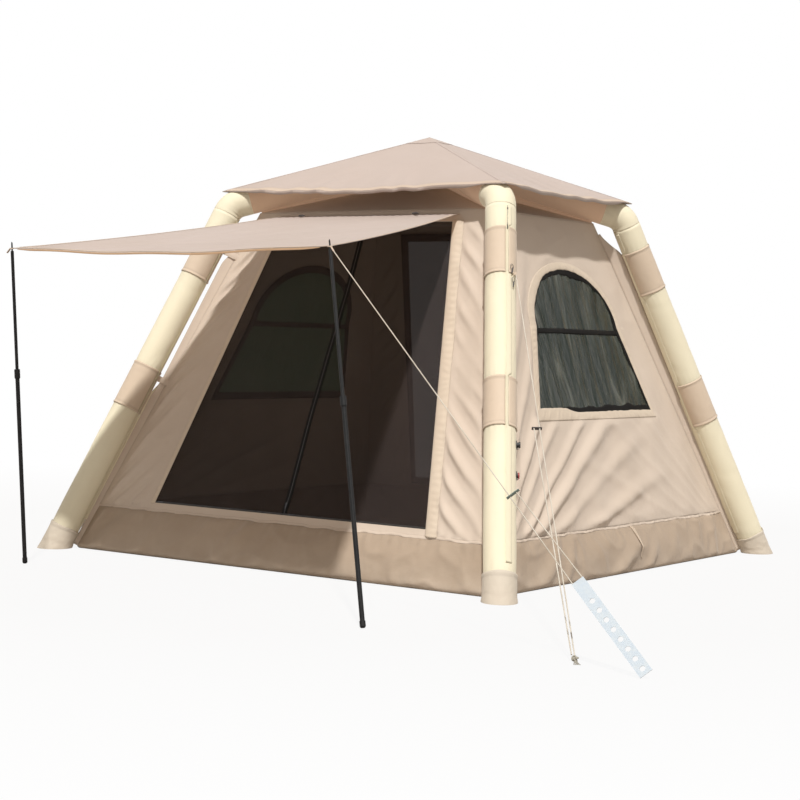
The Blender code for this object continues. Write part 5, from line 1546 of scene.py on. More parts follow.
    def _patch(self) -> bpy.types.Object:
        """The patch sewn on the apex."""
        wide, deep = self.patch_shares
        shape = Shape()
        shape.grid(
            24, 18,
            lambda u, v: self.surface(mix(-wide, wide, u), mix(-deep, deep, v), self.cloth + 0.0016),
            lambda u, v: (u * 0.22, v * 0.16),
            seam=lambda u, v: math.exp(-min(u, 1.0 - u, v, 1.0 - v) / 0.04),
        )
        patch = shape.finish("apex_patch", [self.wardrobe.fly], 0.0008, outward=True, facing=way_up)
        return enter(patch, Body.TENT, Slot.FLY)


@dataclass(frozen=True)
class InnerRoof:
    """The low roof of the inner tent, hung under the beams."""

    wardrobe: Wardrobe
    half_x: float = 0.790
    half_y: float = 0.590
    apex: float = 2.198
    eave: float = 1.965
    sag: float = 0.010
    fold_depth: float = 0.004
    cloth: float = CLOTH
    cells: int = 40

    def build(self) -> None:
        """Make the sheet."""
        def place(u: float, v: float) -> Vector:
            x, y = mix(-1.0, 1.0, u), mix(-1.0, 1.0, v)
            out = max(abs(x), abs(y))
            near = min(abs(x), abs(y)) / out if out else 1.0
            slack = 4.0 * out * (1.0 - out) * (1.0 - near**2)
            point = Vector((x * self.half_x, y * self.half_y, 0.0))
            folds = self.fold_depth * ripple(point, 0.2, 8.0) * slack
            point.z = mix(self.apex, self.eave, out) - self.sag * slack + folds
            return point

        shape = Shape()
        shape.grid(
            self.cells, self.cells, place,
            lambda u, v: (u * self.half_x * 2.0, v * self.half_y * 2.0),
        )
        roof = shape.finish(
            "inner_roof_cloth", [self.wardrobe.wall], self.cloth, outward=True, facing=way_up
        )
        enter(roof, Body.TENT, Slot.WALL, "inner_roof")


# inner tent


class WallName(Enum):
    """The four walls and how far each is turned from the front."""

    FRONT = 0.0
    RIGHT = 90.0
    REAR = 180.0
    LEFT = 270.0


@dataclass(frozen=True)
class WallSizes:
    """Sizes that all the walls and the groundsheet share."""

    foot_half: float = 1.415
    top_half_x: float = 0.790
    top_half_y: float = 0.590
    top_height: float = 1.965
    tray_height: float = 0.250
    cloth: float = CLOTH
    seam_gap: float = 0.0004
    lap: float = 0.016
    fan_depth: float = 0.024
    fan_pitch: float = 0.105
    rear_fan: float = 0.22
    fan_place: Pair = (0.10, 0.06)
    strip_depth: float = 0.016
    strip_pitch: float = 0.120
    strip_lean: float = 0.78
    strip_ripple: float = 0.008
    crease_depth: float = 0.0040
    crumple_depth: float = 0.0010
    drape_depth: float = 0.003
    drape_pitch: float = 0.360
    gather_depth: float = 0.0030
    door_bottom: float = 0.290
    door_top: float = 1.900
    door_bottom_half: float = 0.925
    door_top_half: float = 0.590
    window_bottom: float = 0.870
    window_shoulder: float = 1.350
    window_top: float = 1.675
    window_bottom_half: float = 0.650
    window_shoulder_half: float = 0.477
    window_rearward: float = 0.080
    bar_height: float = 1.320
    net: float = 0.0015
    tie_heights: Pair = (0.955, 1.700)
    arch_turn: float = 50.0
    side_share: float = 0.6
    least_area: float = 0.301


def trapezium(wide: float, narrow: float, low: float, high: float) -> list[Run]:
    """The bottom, right, top and left edges of a trapezium on a wall.

    Args:
        wide: Half its width at the bottom.
        narrow: Half its width at the top.
        low: The height of its bottom.
        high: The height of its top.

    Returns:
        The place on each edge for a share of its length.
    """
    corners = [(-wide, low), (wide, low), (narrow, high), (-narrow, high), (-wide, low)]
    return [
        lambda t, start=start, end=end: (mix(start[0], end[0], t), mix(start[1], end[1], t))
        for start, end in zip(corners, corners[1:])
    ]


class Wall:
    """One sloping wall: its plane, its opening and the relief of its cloth."""

    def __init__(self, name: WallName, wardrobe: Wardrobe, sizes: WallSizes) -> None:
        """Set up the wall's plane.

        Args:
            name: Which wall it is.
            wardrobe: The finishes.
            sizes: The shared sizes.
        """
        self.name, self.wardrobe, self.sizes = name, wardrobe, sizes
        self.label = name.name.lower()
        self.has_door = name in (WallName.FRONT, WallName.REAR)
        self.front = -1.0 if name is WallName.RIGHT else 1.0
        self.weights = (0.22, 0.30, 0.18, 0.30) if self.has_door else (0.36, 0.22, 0.20, 0.22)
        self.top_half = sizes.top_half_x if self.has_door else sizes.top_half_y
        depth = sizes.top_half_y if self.has_door else sizes.top_half_x
        self.slope = (sizes.foot_half - depth) / sizes.top_height
        self.stretch = math.sqrt(1.0 + self.slope**2)
        other = (sizes.foot_half - sizes.top_half_y) / sizes.top_height
        self.inset = 0.0 if self.has_door else (sizes.cloth + sizes.seam_gap) * math.sqrt(1.0 + other**2)
        upward = Vector((0.0, self.slope, 1.0)).normalized()
        along = Vector((1.0, 0.0, 0.0))
        plane = Matrix((along, upward, along.cross(upward))).transposed().to_4x4()
        turn = Matrix.Rotation(math.radians(name.value), 4, "Z")
        self.matrix = turn @ Matrix.Translation((0.0, -sizes.foot_half, 0.0)) @ plane
        self.normal = self.matrix.to_3x3().col[2]
        self.centre = {WallName.RIGHT: 1.0, WallName.LEFT: -1.0}.get(name, 0.0) * sizes.window_rearward

    def way_out(self, _point: Vector) -> Vector:
        """The way out of the wall, the same at every point."""
        return self.normal

    def half_width(self, height: float) -> float:
        """Half the wall's width at a height above the ground."""
        rise = height / self.sizes.top_height
        return mix(self.sizes.foot_half, self.top_half, rise) - self.inset

    def point(self, along: float, height: float, out: float = 0.0) -> Vector:
        """A point from a place along the wall, a height and a distance outwards."""
        lift = height - out * self.normal.z
        return self.matrix @ Vector((along, lift * self.stretch, out))

    def door_half(self, height: float) -> float:
        """Half the door's width at a height."""
        sizes = self.sizes
        share = (height - sizes.door_bottom) / (sizes.door_top - sizes.door_bottom)
        return mix(sizes.door_bottom_half, sizes.door_top_half, share)

    def opening_gap(self, along: float, height: float) -> float:
        """How far a place on the wall is from its door or window."""
        sizes = self.sizes
        if self.has_door:
            aside = abs(along) - self.door_half(min(max(height, sizes.door_bottom), sizes.door_top))
            above = max(sizes.door_bottom - height, height - sizes.door_top)
        elif height > sizes.window_shoulder:
            rise = (height - sizes.window_shoulder) / (sizes.window_top - sizes.window_shoulder)
            away = math.hypot((along - self.centre) / sizes.window_shoulder_half, rise)
            return max(away - 1.0, 0.0) * (sizes.window_top - sizes.window_shoulder)
        else:
            rise = (height - sizes.window_bottom) / (sizes.window_shoulder - sizes.window_bottom)
            half = mix(sizes.window_bottom_half, sizes.window_shoulder_half, max(rise, 0.0))
            aside, above = abs(along - self.centre) - half, sizes.window_bottom - height
        return math.hypot(max(aside, 0.0), max(above, 0.0))

    def _fan(self, along: float, height: float, probe: Vector) -> float:
        """Folds that fan out from the wall's lower corners up to its window."""
        sizes = self.sizes
        depth = 0.0
        for sign, share in ((self.front, 1.0), (-self.front, sizes.rear_fan)):
            across = abs(along - sign * (sizes.foot_half + sizes.fan_place[0]))
            above = height + sizes.fan_place[1]
            reach, angle = math.hypot(across, above), math.atan2(above, across)
            sway = 0.016 * ripple(Vector((angle * 9.0, sign, 0.0)), 1.0)
            turn = angle + 0.022 * ripple(probe, 0.8, 4.0) + sway
            fade = smooth_step(reach - 0.25, 0.4) * smooth_step(2.5 - reach, 0.9)
            fade *= smooth_step(angle - 0.15, 0.12) * smooth_step(1.32 - angle, 0.25)
            strength = 0.75 + 0.9 * ripple(Vector((angle * 7.0, sign, reach * 1.2)), 1.0, 7.0)
            depth += sizes.fan_depth * share * fold(turn / sizes.fan_pitch) * fade * strength
        return depth

    def _strip(self, along: float, height: float, probe: Vector) -> float:
        """Folds that run from the door's side down to the leg."""
        sizes = self.sizes
        aside = abs(along) - self.door_half(height)
        turns = (aside + sizes.strip_lean * height) / sizes.strip_pitch + 1.3 * ripple(probe, 0.8, 4.0)
        fade = smooth_step(aside - 0.05, 0.07) * smooth_step(sizes.door_top - height + 0.1, 0.25)
        strength = max(0.85 + 1.5 * ripple(probe, 0.36, 7.0), 0.15)
        folds = sizes.strip_depth * fold(turns) * fade * strength
        return folds + sizes.strip_ripple * ripple(probe, 0.25, 2.0) * fade

    def relief(self, along: float, height: float) -> float:
        """How far the cloth stands out of its plane.

        Args:
            along: The place along the wall.
            height: The height above the ground.

        Returns:
            The distance outwards.
        """
        sizes = self.sizes
        probe = Vector((along, height, self.name.value))
        big = (self._strip if self.has_door else self._fan)(along, height, probe)
        turns = (along - height * self.slope) / sizes.drape_pitch
        drape = sizes.drape_depth * math.sin(math.tau * turns)
        crumple = sizes.crease_depth * crease(probe, 0.34, 3.0)
        crumple += sizes.crumple_depth * ripple(probe, 0.11, 5.0)
        gap = self.opening_gap(along, height)
        loose = smooth_step(gap - sizes.lap, 0.06)
        loose *= smooth_step(self.half_width(height) - abs(along), 0.09)
        loose *= smooth_step(height - sizes.tray_height, 0.05)
        loose *= smooth_step(sizes.top_height - 0.05 - height, 0.05)
        above = height - sizes.tray_height
        hem = math.exp(-above / 0.05) * smooth_step(above, 0.012) * smooth_step(gap - 0.01, 0.05)
        tucks = 0.5 + 0.5 * math.sin(math.tau * along / 0.055 + 5.0 * ripple(probe, 0.2, 9.0))
        return (big + drape + crumple) * loose + sizes.gather_depth * hem * tucks

    def _walk(self, runs: list[Run], share: float) -> Pair:
        """A place on four edges, a share of the way round from the lower left."""
        share = share % 1.0
        for run, weight in zip(runs[:-1], self.weights):
            if share < weight:
                return run(min(share / weight, 1.0))
            share -= weight
        return runs[-1](min(share / self.weights[-1], 1.0))

    def chart(self, spot: Chart) -> Chart:
        """The UV map of a piece on the wall, from its places along and up the wall."""
        def flat(u: float, v: float) -> Pair:
            along, height = spot(u, v)
            return along, height * self.stretch

        return flat

    def outline(self, share: float, margin: float) -> Pair:
        """A place on the opening's edge, moved away from the opening by a margin."""
        return self._walk(self._door_runs(margin) if self.has_door else self._window_runs(margin), share)

    def _door_runs(self, margin: float) -> list[Run]:
        """The door's bottom, right, top and left edges."""
        sizes = self.sizes
        return trapezium(
            sizes.door_bottom_half + margin, sizes.door_top_half + margin,
            sizes.door_bottom - margin, sizes.door_top + margin,
        )

    def _window_runs(self, margin: float) -> list[Run]:
        """The window's bottom, right side, arch and left side."""
        sizes = self.sizes
        low, wide = sizes.window_bottom - margin, sizes.window_bottom_half + margin
        narrow = sizes.window_shoulder_half + margin
        rise = sizes.window_top - sizes.window_shoulder + margin

        def arch(degrees: float) -> Pair:
            angle = math.radians(degrees)
            return self.centre + narrow * math.cos(angle), sizes.window_shoulder + rise * math.sin(angle)

        def bottom(t: float) -> Pair:
            return self.centre + mix(-wide, wide, t), low

        def right(t: float) -> Pair:
            share = t / sizes.side_share
            if share > 1.0:
                return arch((t - sizes.side_share) / (1.0 - sizes.side_share) * sizes.arch_turn)
            return self.centre + mix(wide, narrow, share), mix(low, sizes.window_shoulder, share)

        def top(t: float) -> Pair:
            return arch(mix(sizes.arch_turn, 180.0 - sizes.arch_turn, t))

        def left(t: float) -> Pair:
            along, height = right(1.0 - t)
            return 2.0 * self.centre - along, height

        return [bottom, right, top, left]

    def _edge(self, share: float) -> Pair:
        """A place on the wall's outer edge, matching the one on the opening's edge."""
        sizes = self.sizes
        low = sizes.tray_height + sizes.seam_gap + sizes.cloth / 2
        high = sizes.top_height - sizes.seam_gap
        return self._walk(trapezium(self.half_width(low), self.half_width(high), low, high), share)

    def build(self) -> None:
        """Make the wall's cloth and its trim."""
        columns, rows = 640, 56

        def spot(u: float, v: float) -> Pair:
            first, last = self.outline(u, 0.0), self._edge(u)
            share = v**1.15
            return mix(first[0], last[0], share), mix(first[1], last[1], share)

        def place(u: float, v: float) -> Vector:
            along, height = spot(u, v)
            return self.point(along, height, self.relief(along, height))

        shape = Shape()
        shape.grid(
            columns, rows, place, self.chart(spot), wrap=True,
            seam=lambda u, v: 0.8 * math.exp(-v / 0.06) + math.exp(-(1.0 - v) / 0.03),
        )
        cloth = shape.finish(
            f"{self.label}_cloth", [self.wardrobe.wall], self.sizes.cloth, facing=self.way_out
        )
        enter(cloth, Body.TENT, Slot.WALL, f"{self.label}_wall")
        trim = [self._ties()] if self.has_door else [self._window_welt()]
        if self.name is WallName.FRONT:
            trim.append(self._door_facing())
        sizes = self.sizes
        width = 2.0 * self.half_width(sizes.tray_height)
        tall = (sizes.top_height - sizes.tray_height) * self.stretch
        full = (self.half_width(sizes.tray_height) + self.half_width(sizes.top_height)) * tall

    def _ties(self) -> bpy.types.Object:
        """The webbing ears that tie the wall's corners to the bands of the legs."""
        shape = Shape()
        sign_y = -1 if self.name is WallName.FRONT else 1
        for sign_x in (-1, 1):
            leg = AirLeg(self.wardrobe, "tie", sign_x, sign_y, 0.0)
            for height in self.sizes.tie_heights:
                depth = self.sizes.foot_half - self.slope * height
                root = Vector((sign_x * (self.half_width(height) - 0.014), sign_y * depth, height))
                axis = leg.at((root - leg.foot).dot(leg.up))
                away = (axis - root).normalized()
                reach = (axis - root).length - leg.radius - 0.0018
                across = leg.up.cross(away).normalized()
                basis = Matrix((away, across, leg.up)).transposed().to_4x4()
                middle = root + away * (reach / 2 - 0.001)
                shape.box((reach + 0.002, 0.0030, 0.035), Matrix.Translation(middle) @ basis, 0.0008)
        ties = shape.finish(f"{self.label}_ties", [self.wardrobe.wall])
        return enter(ties, Body.TENT, Slot.BAND)

    def _window_welt(self) -> bpy.types.Object:
        """The gathered welt round the window, broader towards the front."""
        def place(u: float, v: float) -> Vector:
            along, height = self.outline(u, 0.0)
            probe = Vector((along, height, 3.0))
            broad = 0.026 * smooth_step(self.front * (along - self.centre) - 0.22, 0.2)
            inner = -0.005 - broad - 0.006 * abs(ripple(probe, 0.07, 3.0))
            along, height = self.outline(u, mix(inner, 0.036, v))
            pucker = 0.0030 * math.sin(v * math.pi) * abs(ripple(probe, 0.022, 1.0)) * 2.0
            crown = 0.0016 * math.sin(math.pi * v) ** 0.7
            return self.point(along, height, self.relief(along, height) + 0.0006 + crown + pucker)

        shape = Shape()
        shape.grid(
            480, 9, place, lambda u, v: (u * 3.4, v * 0.038), wrap=True,
            seam=lambda u, v: near_edges(v, 0.16),
        )
        welt = shape.finish(
            f"{self.label}_window_welt", [self.wardrobe.welt], 0.0012, outward=True, facing=self.way_out
        )
        return enter(welt, Body.TENT, Slot.WALL)

    def _facing_point(self, sign: float, width: float, swell: float, u: float, v: float) -> Vector:
        """A point of the facing on one side of the door."""
        sizes = self.sizes
        foot = sizes.tray_height + 0.003 if sign > 0 else sizes.door_bottom - 0.004
        height = mix(foot, sizes.door_top + 0.004, v)
        along = sign * (self.door_half(height) - 0.003 + width * u)
        probe = Vector((along, height, 5.0))
        bulge = swell * math.sin(math.pi * u) ** 0.8 * (0.75 + 0.4 * ripple(probe, 0.12, 2.0))
        pucker = 0.0024 * u * math.sin(height * math.tau / 0.034 + 4.0 * ripple(probe, 0.1))
        out = self.relief(along, height) + 0.0008 + bulge + max(pucker, -0.0004)
        return self.point(along, height, out)

    def _door_facing(self) -> bpy.types.Object:
        """The facings sewn along the door: a broad loose one on the right, a slim one on the left."""
        shape = Shape()
        for sign, width, swell in ((1.0, 0.074, 0.0095), (-1.0, 0.030, 0.0025)):
            shape.grid(
                12, 200, partial(self._facing_point, sign, width, swell),
                lambda u, v, width=width: (u * width, v * 1.75),
                seam=lambda u, v: near_edges(u, 0.08),
            )
        facing = shape.finish(
            "door_facing", [self.wardrobe.welt], 0.0012, outward=True, facing=self.way_out
        )
        return enter(facing, Body.TENT, Slot.WALL)


@dataclass(frozen=True)
class CornerFlanges:
    """The cloth flanges at the corners, piped and sewn to the legs up to the lower bands."""

    wardrobe: Wardrobe
    sizes: WallSizes
    legs: list[AirLeg]
    roof: InnerRoof
    sewn_height: float = 0.86
    right_sewn_height: float = 1.73
    slit: float = 0.022
    top: float = 1.90
    piping: float = 0.0045
    piping_share: float = 0.93

    def _spot(self, leg: AirLeg, height: float, share: float) -> Vector:
        """A point of a flange: its height and its share of the way out to the leg."""
        sizes = self.sizes
        rise = height / sizes.top_height
        half_x = mix(sizes.foot_half, sizes.top_half_x, rise) - 0.003
        half_y = mix(sizes.foot_half, sizes.top_half_y, rise) - 0.003
        root = Vector((leg.sign_x * half_x, leg.sign_y * half_y, height))
        axis = leg.at((root - leg.foot).dot(leg.up))
        away = (axis - root).normalized()
        sewn_height = self.right_sewn_height if leg.sign_x > 0 else self.sewn_height
        width = (axis - root).length - leg.radius
        width -= self.slit * smooth_step(height - sewn_height, 0.10)
        width = mix(width, 0.014, smooth_step(height - max(sewn_height, 1.60) - 0.03, 0.15))
        wave = 0.004 * ripple(Vector((height, leg.sign_x * 2.0, leg.sign_y * 5.0)), 0.13) * share
        return root + away * (width * share) + away.cross(leg.up) * wave

    def _gusset(self, leg: AirLeg, out: float, share: float) -> Vector:
        """A point of the gusset that fills the gap from the inner roof's hip up to the roof beam."""
        roof = self.roof
        hip = Vector((leg.sign_x * roof.half_x * out, leg.sign_y * roof.half_y * out, 0.0))
        hip.z = mix(roof.apex, roof.eave, out)
        way = leg.inward
        reach = (hip - leg.knee).dot(Vector((way.x, way.y, 0.0))) / (way.x**2 + way.y**2)
        under = leg.knee.z + way.z * reach - leg.radius / math.hypot(way.x, way.y) + leg.wall
        top = max(under, hip.z + 2.0 * roof.cloth)
        return Vector((hip.x, hip.y, mix(hip.z + roof.cloth, top, share)))

    def build(self) -> None:
        """Make the flanges, their piping and the gussets over the inner roof."""
        gussets = Shape()
        for leg in self.legs:
            gussets.grid(
                3, 40, lambda u, v, leg=leg: self._gusset(leg, mix(0.30, 0.99, v), u),
                lambda u, v: (u * 0.05, v * 0.7), seam=lambda u, v: u**4,
            )
        # The gussets take the brown underside finish, whose brown and glow are painted shade and painted
        # light over the inner roof.
        gusset_piece = gussets.finish("ridge_gussets", [self.wardrobe.painted_light_underside], 0.0010)
        enter(gusset_piece, Body.TENT, Slot.WALL)
        cloth, piping = Shape(), Shape()
        for leg in self.legs:
            cloth.grid(
                6, 120, lambda u, v, leg=leg: self._spot(leg, mix(0.012, self.top, v), u),
                lambda u, v: (u * 0.05, v * 2.0), seam=lambda u, v: u**4,
            )
            heights = [mix(0.15, self.sewn_height + 0.05, step / 50) for step in range(51)]
            path = [self._spot(leg, height, self.piping_share) for height in heights]
            piping.tube(path, lambda u, v: self.piping * (0.95 + 0.05 * math.sin(v * 400.0)), 10)
        flanges = cloth.finish("corner_flanges", [self.wardrobe.wall], 0.0016)
        enter(flanges, Body.TENT, Slot.WALL)
        enter(piping.finish("flange_piping", [self.wardrobe.sleeve]), Body.TENT, Slot.SLEEVE)


@dataclass(frozen=True)
class Panels:
    """The mesh of the doors and windows, the windows' frames and film, and the door's zips."""

    wardrobe: Wardrobe
    sizes: WallSizes
    walls: dict[WallName, Wall]
    chain: float = 0.010
    chain_gap: float = 0.0004
    crown: float = 0.0022
    teeth: float = 0.0007
    zip_tape: float = 0.036
    binding_width: float = 0.030
    binding_depth: float = 0.0105
    bar_half: float = 0.014
    inner_bar_half: float = 0.016
    net_slack: float = 0.0040
    film_slack: float = 0.0006

    def build(self) -> None:
        """Make every panel."""
        front, rear = self.walls[WallName.FRONT], self.walls[WallName.REAR]
        middle = self.chain / 2 + self.chain_gap
        self._door_panel(front, "door_net_left", "front_door_mesh_left", -1.0, middle)
        self._door_panel(front, "door_net_right", "front_door_mesh_right", 1.0, middle)
        self._door_panel(rear, "rear_door_net", "rear_door_mesh", 0.0, 0.0)
        for name in (WallName.LEFT, WallName.RIGHT):
            self._window(self.walls[name])
        self._zips(front)
        for name in (WallName.LEFT, WallName.RIGHT, WallName.REAR):
            self._binding(self.walls[name])

    def _door_panel(self, wall: Wall, name: str, node: str, side: float, middle: float) -> None:
        """One mesh panel of a door, slack between its edges."""
        sizes = self.sizes
        low, high = sizes.door_bottom - sizes.lap, sizes.door_top + sizes.lap

        def spot(u: float, v: float) -> Pair:
            height = mix(low, high, v)
            half = wall.door_half(height) + sizes.lap * 0.9
            first, last = (-half, half) if not side else sorted((side * middle, side * half))
            return mix(first, last, u), height

        def place(u: float, v: float) -> Vector:
            along, height = spot(u, v)
            held = smooth_step(min(u, 1.0 - u), 0.12) * smooth_step(min(v, 1.0 - v), 0.08)
            probe = Vector((along, height, 9.0))
            slack = self.net_slack + 0.006 * ripple(probe, 0.30, 1.0)
            slack += self.net_slack * crease(probe, 0.35, 2.0)
            return wall.point(along, height, -sizes.cloth - sizes.seam_gap - abs(slack) * held)

        shape = Shape()
        shape.grid(44, 70, place, wall.chart(spot))
        netting = self.wardrobe.netting if side else self.wardrobe.rear_netting
        net = shape.finish(name, [netting], sizes.net, facing=wall.way_out)
        enter(net, Body.TENT, Slot.MESH, node)

    def _window(self, wall: Wall) -> None:
        """A window's mesh, its black frame and bar, and the clear film over it."""
        sizes = self.sizes
        back = -sizes.cloth - sizes.seam_gap
        middle = (wall.centre, mix(sizes.window_bottom, sizes.window_top, 0.45))

        def panel(margin: float, depth: float, slack: float) -> Shape:
            def spot(u: float, v: float) -> Pair:
                edge = wall.outline(u, margin)
                return mix(middle[0], edge[0], v), mix(middle[1], edge[1], v)

            def place(u: float, v: float) -> Vector:
                along, height = spot(u, v)
                probe = Vector((along, height, depth * 900.0))
                sway = slack * (0.5 + abs(ripple(probe, 0.16, 4.0)) + crease(probe, 0.2, 2.0))
                return wall.point(along, height, depth - sway * smooth_step(1.0 - v, 0.2))

            made = Shape()
            made.grid(150, 22, place, wall.chart(spot), wrap=True)
            return made

        net = panel(sizes.lap * 0.9, back, self.net_slack).finish(
            f"{wall.label}_window_net", [self.wardrobe.window_netting], sizes.net, facing=wall.way_out
        )
        enter(net, Body.TENT, Slot.MESH, f"{wall.label}_window_mesh")
        cover = self.wardrobe.far_film if wall.name is WallName.LEFT else self.wardrobe.film
        film = panel(0.006, -sizes.seam_gap, self.film_slack).finish(
            f"{wall.label}_window_film", [cover], 0.0005, facing=wall.way_out
        )
        enter(film, Body.TENT, Slot.MESH)
        shape = Shape()

        def ring(u: float, v: float) -> Vector:
            probe = Vector((*wall.outline(u, 0.0), 1.0))
            inner = -0.034 - 0.020 * ripple(probe, 0.16, 6.0) - 0.010 * ripple(probe, 0.05, 2.0)
            along, height = wall.outline(u, mix(inner, 0.004, v))
            return wall.point(along, height, 0.0004 + 0.0008 * math.sin(math.pi * v))

        shape.grid(300, 5, ring, lambda u, v: (u * 3.3, v * 0.04), wrap=True)
        half = sizes.window_shoulder_half * 0.99

        def bar(u: float, v: float) -> Vector:
            along = wall.centre + mix(-half, half, u)
            sway = 0.004 * ripple(Vector((along, 0.0, 2.0)), 0.25)
            height = sizes.bar_height + mix(-self.bar_half, self.bar_half, v) + sway
            return wall.point(along, height, 0.0006 + 0.0008 * math.sin(math.pi * v))

        shape.grid(60, 3, bar, lambda u, v: (u, v * 0.025))
        frame = shape.finish(
            f"{wall.label}_window_frame", [self.wardrobe.tape], 0.0008, outward=True,
            facing=wall.way_out,
        )
        enter(frame, Body.TENT, Slot.MESH)

    def _binding(self, wall: Wall) -> None:
        """The black tape inside, round an opening and across a window."""
        sizes = self.sizes
        shape = Shape()

        def ring(u: float, v: float) -> Vector:
            along, height = wall.outline(u, mix(-self.binding_width, sizes.lap, v))
            return wall.point(along, height, -self.binding_depth - 0.002 * math.sin(math.pi * v))

        def bar(u: float, v: float) -> Vector:
            along = wall.centre + mix(-1.0, 1.0, u) * sizes.window_shoulder_half
            height = sizes.bar_height + mix(-self.inner_bar_half, self.inner_bar_half, v)
            return wall.point(along, height, -self.binding_depth - 0.001)

        shape.grid(300, 4, ring, lambda u, v: (u * 3.4, v * 0.05), wrap=True)
        if not wall.has_door:
            shape.grid(30, 2, bar, lambda u, v: (u, v * 0.03))
        binding = shape.finish(
            f"{wall.label}_binding", [self.wardrobe.tape], 0.0010, facing=wall.way_out
        )
        enter(binding, Body.TENT, Slot.MESH)

    def _zips(self, wall: Wall) -> None:
        """The ridged chains of the centre and bottom zips, and the centre one's cloth tape."""
        sizes = self.sizes
        face = -sizes.cloth - sizes.seam_gap
        low = sizes.door_bottom + self.chain_gap + self.chain / wall.stretch
        half = sizes.door_bottom_half - 0.008

        def sway(height: float) -> float:
            held = smooth_step(height - low, 0.15) * smooth_step(sizes.door_top - height, 0.15)
            wander = 0.004 * ripple(Vector((height, 3.0, 1.0)), 0.3)
            return (0.005 * math.sin(height * 5.2) + wander) * held

        def upright(width: float, crown: float, lift: float, u: float, v: float) -> Vector:
            height = mix(low, sizes.door_top - 0.002, v)
            across = mix(-width, width, u) / 2.0
            teeth = self.teeth * math.sin(v * 1900.0) if crown else 0.0
            out = face - sizes.net + lift + (crown + teeth) * math.sin(math.pi * u)
            return wall.point(across + sway(height), height, out)

        def level(u: float, v: float) -> Vector:
            middle = sizes.door_bottom + self.chain_gap + self.chain / 2.0 / wall.stretch
            height = middle + mix(-self.chain, self.chain, u) / 2.0 / wall.stretch
            teeth = self.teeth * math.sin(v * 2100.0)
            out = face + self.chain_gap + (self.crown + teeth) * math.sin(math.pi * u)
            return wall.point(mix(-half, half, v), height, out)

        for name, place, node in (
            ("centre_zip", partial(upright, self.chain, self.crown, 0.0012), "door_centre_zip"),
            ("bottom_zip", level, "door_bottom_zip"),
        ):
            shape = Shape()
            shape.grid(6, 900, place, lambda u, v: (u * 0.01, v * 1.8))
            chain = shape.finish(name, [self.wardrobe.zip], 0.0008, facing=wall.way_out)
            enter(chain, Body.TENT, Slot.ZIP, node)
        shape = Shape()
        strip = partial(upright, self.zip_tape, 0.0, 0.0024)
        shape.grid(6, 160, strip, lambda u, v: (u * self.zip_tape, v * 1.8))
        tape = shape.finish("centre_zip_tape", [self.wardrobe.tape], 0.0006, facing=wall.way_out)
        enter(tape, Body.TENT, Slot.ZIP)


